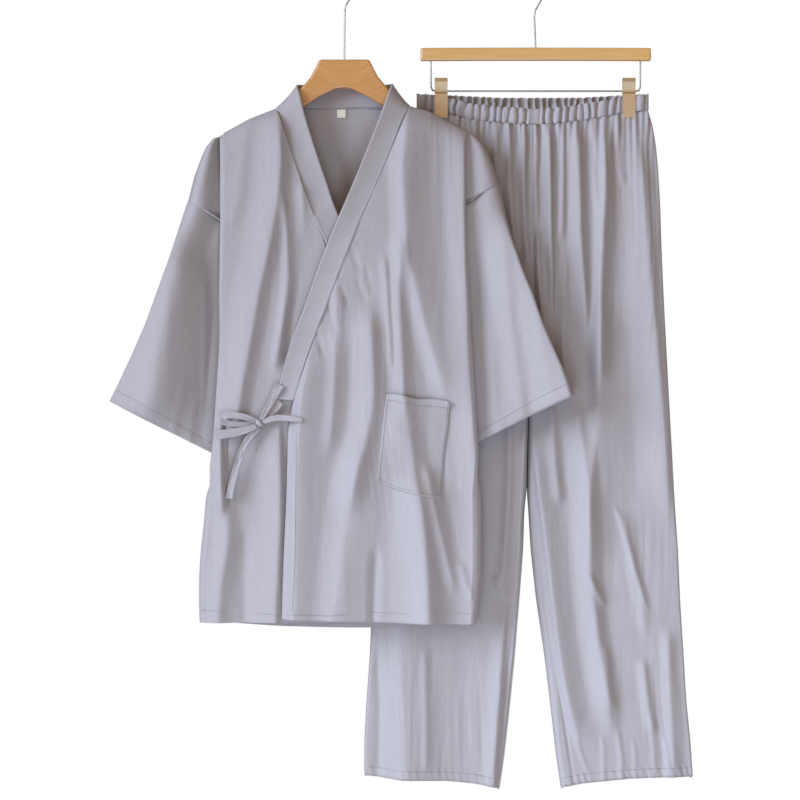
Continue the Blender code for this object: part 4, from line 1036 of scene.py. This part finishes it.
# %% Folds of the legs
# left, right, depth in mm, then the crest's places (across, down)
LEG_FOLDS = [
    (9, 7, 3.0, (497, 112), (496, 140), (494, 185), (492, 230)),
    (8, 6, 3.2, (508, 110), (509, 140), (509, 185), (513, 235), (517, 260)),
    (7, 5, 2.8, (521, 110), (523, 140), (523, 185), (524, 230), (529, 275)),
    (5, 5, 1.4, (534, 112), (535, 150), (535, 185), (536, 230)),
    (9, 4, 4.0, (547, 110), (549, 140), (549.5, 185), (550, 230), (551, 270), (551, 330)),
    (6, 6, 2.2, (559, 112), (562, 140), (562, 185), (561, 225), (560, 250)),
    (13, 8, 4.4, (574, 110), (577, 140), (578.5, 185), (579, 230), (581, 260), (584, 300), (586, 350)),
    (6, 5, 1.6, (592, 112), (594, 150), (594, 185), (597, 230), (598, 250)),
    (10, 13, 5.4, (602, 112), (604, 140), (604, 185), (602, 230), (600, 260), (599, 300), (598, 350),
     (598, 400)),
    (12, 36, 3.8, (599, 290), (598, 340), (598, 390), (596, 430), (592, 470), (588, 510), (588, 545),
     (590, 575)),
    (26, 12, 3.6, (634, 112), (638, 140), (642, 185), (648, 260), (652, 315), (660, 400), (664, 460),
     (668, 540)),
    (5, 5, 1.5, (617, 112), (619, 140), (620, 170), (622, 190)),
    (5, 8, 3.4, (537, 225), (537, 250), (538, 280), (543, 330), (546, 350)),
    (7, 7, 2.0, (566, 245), (563, 300), (562, 350), (566, 400)),
    (19, 13, 4.6, (576, 390), (580, 430), (584, 470), (587, 500), (588, 540), (589, 570), (592, 600),
     (597, 640), (602, 670), (606, 700), (613, 745)),
    (7, 24, 4.4, (533, 420), (536, 470), (541, 510), (546, 550), (552, 600), (558, 650), (567, 700),
     (584, 760)),
    (9, 9, 2.2, (548, 395), (552, 430), (555, 470), (560, 510)),
    (8, 10, 1.3, (622, 505), (628, 545), (634, 580), (642, 610), (644, 640)),
    (4, 6, 1.3, (612, 500), (619, 519), (628, 550), (641, 594), (648, 615)),
    (7, 6, 1.1, (604, 640), (606, 662), (607, 685), (613, 712)),
    (8, 7, 1.8, (641, 655), (644, 680), (647, 705), (652, 735)),
    (6, 7, 1.6, (584, 570), (590, 580), (598, 594), (603, 606)),
    (9, 12, 2.2, (666, 620), (668, 680), (671, 740), (673, 800)),
    (4, 4, 0.6, (574, 735), (580, 752), (588, 772)),
    (4, 4, 0.6, (601, 732), (603, 755), (602, 790)),
    (4, 4, 0.7, (616, 726), (620, 752), (622, 790)),
    (4, 4, 0.5, (632, 736), (634, 758), (636, 790)),
    (5, 5, 0.8, (650, 712), (652, 745), (654, 790)),
    (4, 4, 1.0, (664, 736), (667, 760), (668, 790)),
    (30, 55, 6.2, (398, 580), (402, 640), (404, 720), (405, 830)),
    (12, 6, 2.6, (506, 590), (502, 640), (498, 700), (493, 770), (491, 810)),
    (9, 5, 3.4, (525, 405), (524, 450), (523, 500), (521, 560), (518, 620), (513, 690)),
    (8, 9, 2.6, (509, 405), (509, 450), (508, 500), (504, 560), (500, 600)),
    (6, 6, 1.6, (494, 575), (500, 588), (510, 600)),
    (2.5, 2.5, -1.1, (524, 440), (523, 500), (520, 550), (516, 598), (508, 667), (502, 736), (494, 800)),
    (2.5, 2.5, -0.8, (529, 400), (532, 475), (540, 530), (549, 600), (560, 696), (566, 736), (576, 800)),
    (8, 8, -1.4, (378, 640), (380, 700), (378, 790)),
    (7, 7, 1.2, (424, 640), (425, 700), (426, 780)),
    (9, 8, 2.8, (455, 112), (456, 160), (452, 230), (446, 300)),
    (9, 8, 2.8, (436, 112), (434, 170), (428, 240), (420, 320)),
    (14, 12, 3.6, (474, 112), (474, 170), (470, 260), (462, 360)),
    (20, 20, 3.8, (440, 330), (436, 420), (430, 520), (424, 600)),
]

# %% [markdown]
# A panel runs from its centre seam or inseam to its side seam. Its depth grows from the flat waist to
# the hip, and rounds off at both edges once the legs have parted.

# %% Rows of the legs
def waist_half_depth(x):
    """Half the waistband's depth: pinched at the clips and full between them."""
    inside = (x - CLIP_X[0] - CLIP_GRIP) / (CLIP_X[1] - CLIP_X[0] - 2.0 * CLIP_GRIP)
    full = np.clip(np.sin(math.pi * np.clip(inside, 0.0, 1.0)), 0.0, None) ** 0.7
    return CLIP_DEPTH + (WAIST_DEPTH - CLIP_DEPTH) * full


def small_gathers(x, z, top, seed):
    """The little folds right below the waistband, which run out as they fall."""
    below = top - z
    across = x + 0.0024 * wander(x, z, 0.020, 0.05, seed) + 0.004 * wander(x, z * 0.0, 0.03, 1.0, seed + 1)
    wave = np.sin(across / 0.0088 * 2.0 * math.pi) + 0.5 * np.sin(across / 0.0143 * 2.0 * math.pi + 1.0)
    fade = np.exp(-below / (0.040 + 0.024 * wander(x, z * 0.0, 0.012, 1.0, seed + 2)))
    return 0.0017 * wave * fade


def leg_rows(leg, face, columns, step, seed):
    """Rows of a trouser panel, from its centre seam or inseam to its side seam."""
    level = np.arange(leg["z"][0], leg["z"][-1], -step)
    level = np.append(level[:-1], leg["z"][-1])[:, None]
    inner, outer = [running_mean(at_height(leg, name, level[:, 0]), 6)[:, None]
                    for name in ("inner", "outer")]
    joined = smooth((level - CROTCH_Z) / 0.02) * 0.0005
    hidden = 0.0012 * (face > 0)
    outer = outer + hidden * np.sign(inner - outer)
    inner = inner + (joined - hidden * smooth((CROTCH_Z - level) / 0.02)) * np.sign(inner - outer)
    part = closer_at_ends(columns + 1)[None, :]
    x = inner + (outer - inner) * part
    seam = line_z(BAND_TOP_FRONT if face < 0 else BAND_TOP_BACK, x) - BAND_HEIGHT
    arch = smooth(1.0 - (leg["z"][0] - level) / 0.12)
    hang = smooth((level + 0.900) / -0.258)
    hem = line_z(TROUSER_HEM, x)
    z = level + (seam - leg["z"][0]) * arch + (hem - leg["z"][-1]) * hang - 0.004 * hang * (face > 0)
    to_inseam = smooth((CROTCH_Z + 0.060 - level) / 0.090)
    round_in = 1.0 - to_inseam * (1.0 - rounded(part / 0.035))
    grow = smooth((leg["z"][0] - level) / 0.16)
    depth = waist_half_depth(x) * (1.0 - grow) + HIP_DEPTH * grow
    depth = depth * (1.0 - SIDE_FLAT * grow * smooth((part - 0.58) / 0.30))
    much, moved = (TROUSER_FOLDS, 0.0) if face < 0 else (0.5 * TROUSER_FOLDS, 0.015)
    folded = much * relief(LEG_FOLDS, x + moved, z, TROUSER_Y)
    folded = folded + small_gathers(x, z, seam, seed) + crumple(x, z, seed + 5, 0.0008)
    hem_line = hem + 0.0155
    folded = folded + hem_ridge(z, hem_line) + hem_ripple(x, z, hem_line, seed + 6)
    depth = np.maximum((depth + folded) * rounded((1.0 - part) / 0.011) * round_in, 0.0010)
    return np.stack([x, TROUSER_Y + face * depth, z], axis=2)


PANELS = {
    "trouser_front_left": (LEFT_LEG, -1.0, 100, 0.0042, 91),
    "trouser_front_right": (RIGHT_LEG, -1.0, 100, 0.0042, 101),
    "trouser_back_left": (LEFT_LEG, 1.0, 64, 0.0056, 111),
    "trouser_back_right": (RIGHT_LEG, 1.0, 64, 0.0056, 121),
}
for name, panel in PANELS.items():
    add_sheet(name, leg_rows(*panel))

# %% [markdown]
# ## The waistband
# The waistband is a casing with elastic inside. The elastic draws it into short upright pleats, no two
# alike, pinched at the seam below and loose at the top edge. A flat patch at the centre front is where
# the casing was closed.

# %% Waistband
GATHERS = 66
POINTS_EACH = 16
BAND_LEVELS = 15
GATHER_DEPTH = 0.0019
FLAT_PATCH_X = spot(534, 0, TROUSER_Y)[0]


def waistband_rows():
    """Rows round the waistband, front and then back, from its top edge down."""
    left, right = BAND_TOP_FRONT["x"][0], BAND_TOP_FRONT["x"][-1]
    k = np.arange(GATHERS * POINTS_EACH)
    half = len(k) // 2
    front = k < half
    part = np.where(front, (k % half) / half, 1.0 - (k % half) / half)
    x = left + (right - left) * part
    end = np.minimum(part, 1.0 - part) * (right - left) / 0.006
    closing = rounded(end)
    around = np.where(front, x, x + 1.0)
    still = around * 0.0
    vary = 1.0 + 0.6 * wander(around, still, 0.0100, 1.0, 131)
    held = np.minimum(np.abs(x - CLIP_X[0]), np.abs(x - CLIP_X[1]))
    loose = 0.18 + 0.82 * smooth((held - 0.009) / 0.008)
    loose = loose * np.where(front, 0.15 + 0.85 * smooth((np.abs(x - FLAT_PATCH_X) - 0.005) / 0.004), 1.0)
    top = np.where(front, line_z(BAND_TOP_FRONT, x), line_z(BAND_TOP_BACK, x))
    rows = []
    for level in np.linspace(0.0, 1.0, BAND_LEVELS):
        shift = 1.0 * wander(around, still + level, 0.011, 0.6, 132) + 0.8 * level
        phase = k / POINTS_EACH * 2.0 * math.pi * 0.94 + shift + 1.9 * wander(around, still, 0.018, 1.0, 133)
        ridge = 2.0 * np.abs(np.cos(0.5 * phase)) ** 0.75 - 1.0
        swell = 0.0012 * math.sin(math.pi * level) - 0.0008 * smooth((level - 0.88) / 0.12)
        frill = 1.0 + 0.5 * (1.0 - smooth(level / 0.25))
        depth = (waist_half_depth(x) + swell) * closing
        depth = depth + GATHER_DEPTH * vary * loose * ridge * frill * np.minimum(1.0, end)
        z = top - (BAND_HEIGHT + 0.0004) * level + 0.0011 * ridge * loose * (1.0 - smooth(level / 0.3))
        rows.append(np.stack([x, TROUSER_Y + np.where(front, -depth, depth), z], axis=1))
    return np.array(rows)


add_sheet("waistband", waistband_rows(),
          wall=0.0008, closed=True)

# %% [markdown]
# ## Sewing
# Rows of stitches hold every hem and seam. One stitch is a tiny rounded bar of thread. It is copied at
# an even pitch along a run of places on the cloth, just proud of it, and each run of stitches is one
# joined mesh.

# %% Stitches
STITCH_LONG = 0.0026
STITCH_PITCH = 0.0036
STITCH_THICK = 0.00042
PROUD = np.array((0.0, 0.0007, 0.0))
stitch_points = []
stitch_faces = []


def sew(run):
    """Lays stitches along a run of points that is already just proud of the cloth."""
    run = smooth_run(run, STITCH_PITCH)
    for a, b in zip(run[:-1], run[1:]):
        along = (b - a) / max(np.linalg.norm(b - a), 1e-9)
        side = np.cross(along, (0.0, 1.0, 0.0))
        side = side / max(np.linalg.norm(side), 1e-9) * STITCH_THICK
        lift = np.cross(side, along)
        middle, reach = (a + b) * 0.5, along * STITCH_LONG * 0.5
        first = len(stitch_points)
        for far, wide in ((-1.0, 0.35), (-0.6, 1.0), (0.6, 1.0), (1.0, 0.35)):
            for turn in range(4):
                angle = 0.5 * math.pi * turn
                offset = (side * math.cos(angle) + lift * math.sin(angle)) * wide
                stitch_points.append(middle + reach * far + offset)
        for ring in range(3):
            for turn in range(4):
                p, q = first + ring * 4 + turn, first + ring * 4 + (turn + 1) % 4
                stitch_faces.append((p, q, q + 4, p + 4))
        stitch_faces.append((first + 3, first + 2, first + 1, first))
        stitch_faces.append((first + 12, first + 13, first + 14, first + 15))


def on_front(depth_at, places):
    """A line of the ruled view, laid on the front of a body piece."""
    places = np.array(places, float)
    far = distances(places)
    x, z = np.array([spot(*place) for place in read_run(places, far, np.linspace(0.0, far[-1], 60))]).T
    return np.stack([x, -on_body(depth_at, x, z) - 0.0006, z], axis=1)


sew(on_front(under_depth, [(202, 609), (233, 611), (271, 613), (281, 613)]))
sew(on_front(wrap_depth, [(287, 613), (330, 614), (370, 611), (400, 612), (440, 612), (477, 613)]))
sew(on_front(wrap_depth, [(298, 412), (297, 470), (296, 560), (293, 612)]))
pocket = SHEETS["pocket"]
for line in (pocket[5], pocket[:, 2], pocket[:, -3], pocket[-3]):
    sew(line - PROUD)
for name in SLEEVES:
    cuff = SHEETS[name][-5]
    sew(cuff[1:SLEEVE_ACROSS - 1] - PROUD)
    sew(cuff[SLEEVE_ACROSS:] + PROUD)
for name, panel in PANELS.items():
    sew(SHEETS[name][-4, 2:-2] + panel[1] * PROUD)
band = SHEETS["neckband"]
sew(band[len(band) // 2:, 13] - 2.0 * PROUD)
LOOSE_THREAD = [(261, 427, -39), (262.5, 434, -38), (261.5, 441, -36), (258.5, 447, -34), (257, 451, -33)]
loose = smooth_run([(*spot(across, down), y * 0.001) for across, down, y in LOOSE_THREAD], STITCH_LONG * 0.8)
for a, b in zip(loose[:-1], loose[1:]):
    sew([(a[0], a[2], a[1]), (b[0], b[2], b[1])])
mesh = bpy.data.meshes.new("stitching")
mesh.from_pydata([tuple(place) for place in stitch_points], [], stitch_faces)
mesh.uv_layers.new(name="cloth")
mesh.shade_smooth()
# The darker thread also carries painted shade of the seams' grooves and puckers.
mesh.materials.append(thread_and_seam_shade)
stitching = bpy.data.objects.new("stitching", mesh)
bpy.context.scene.collection.objects.link(stitching)
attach(stitching, "root")
print("stitches:", len(stitch_faces) // 14)

# %% [markdown]
# ## The end

# %% The end
print("done")
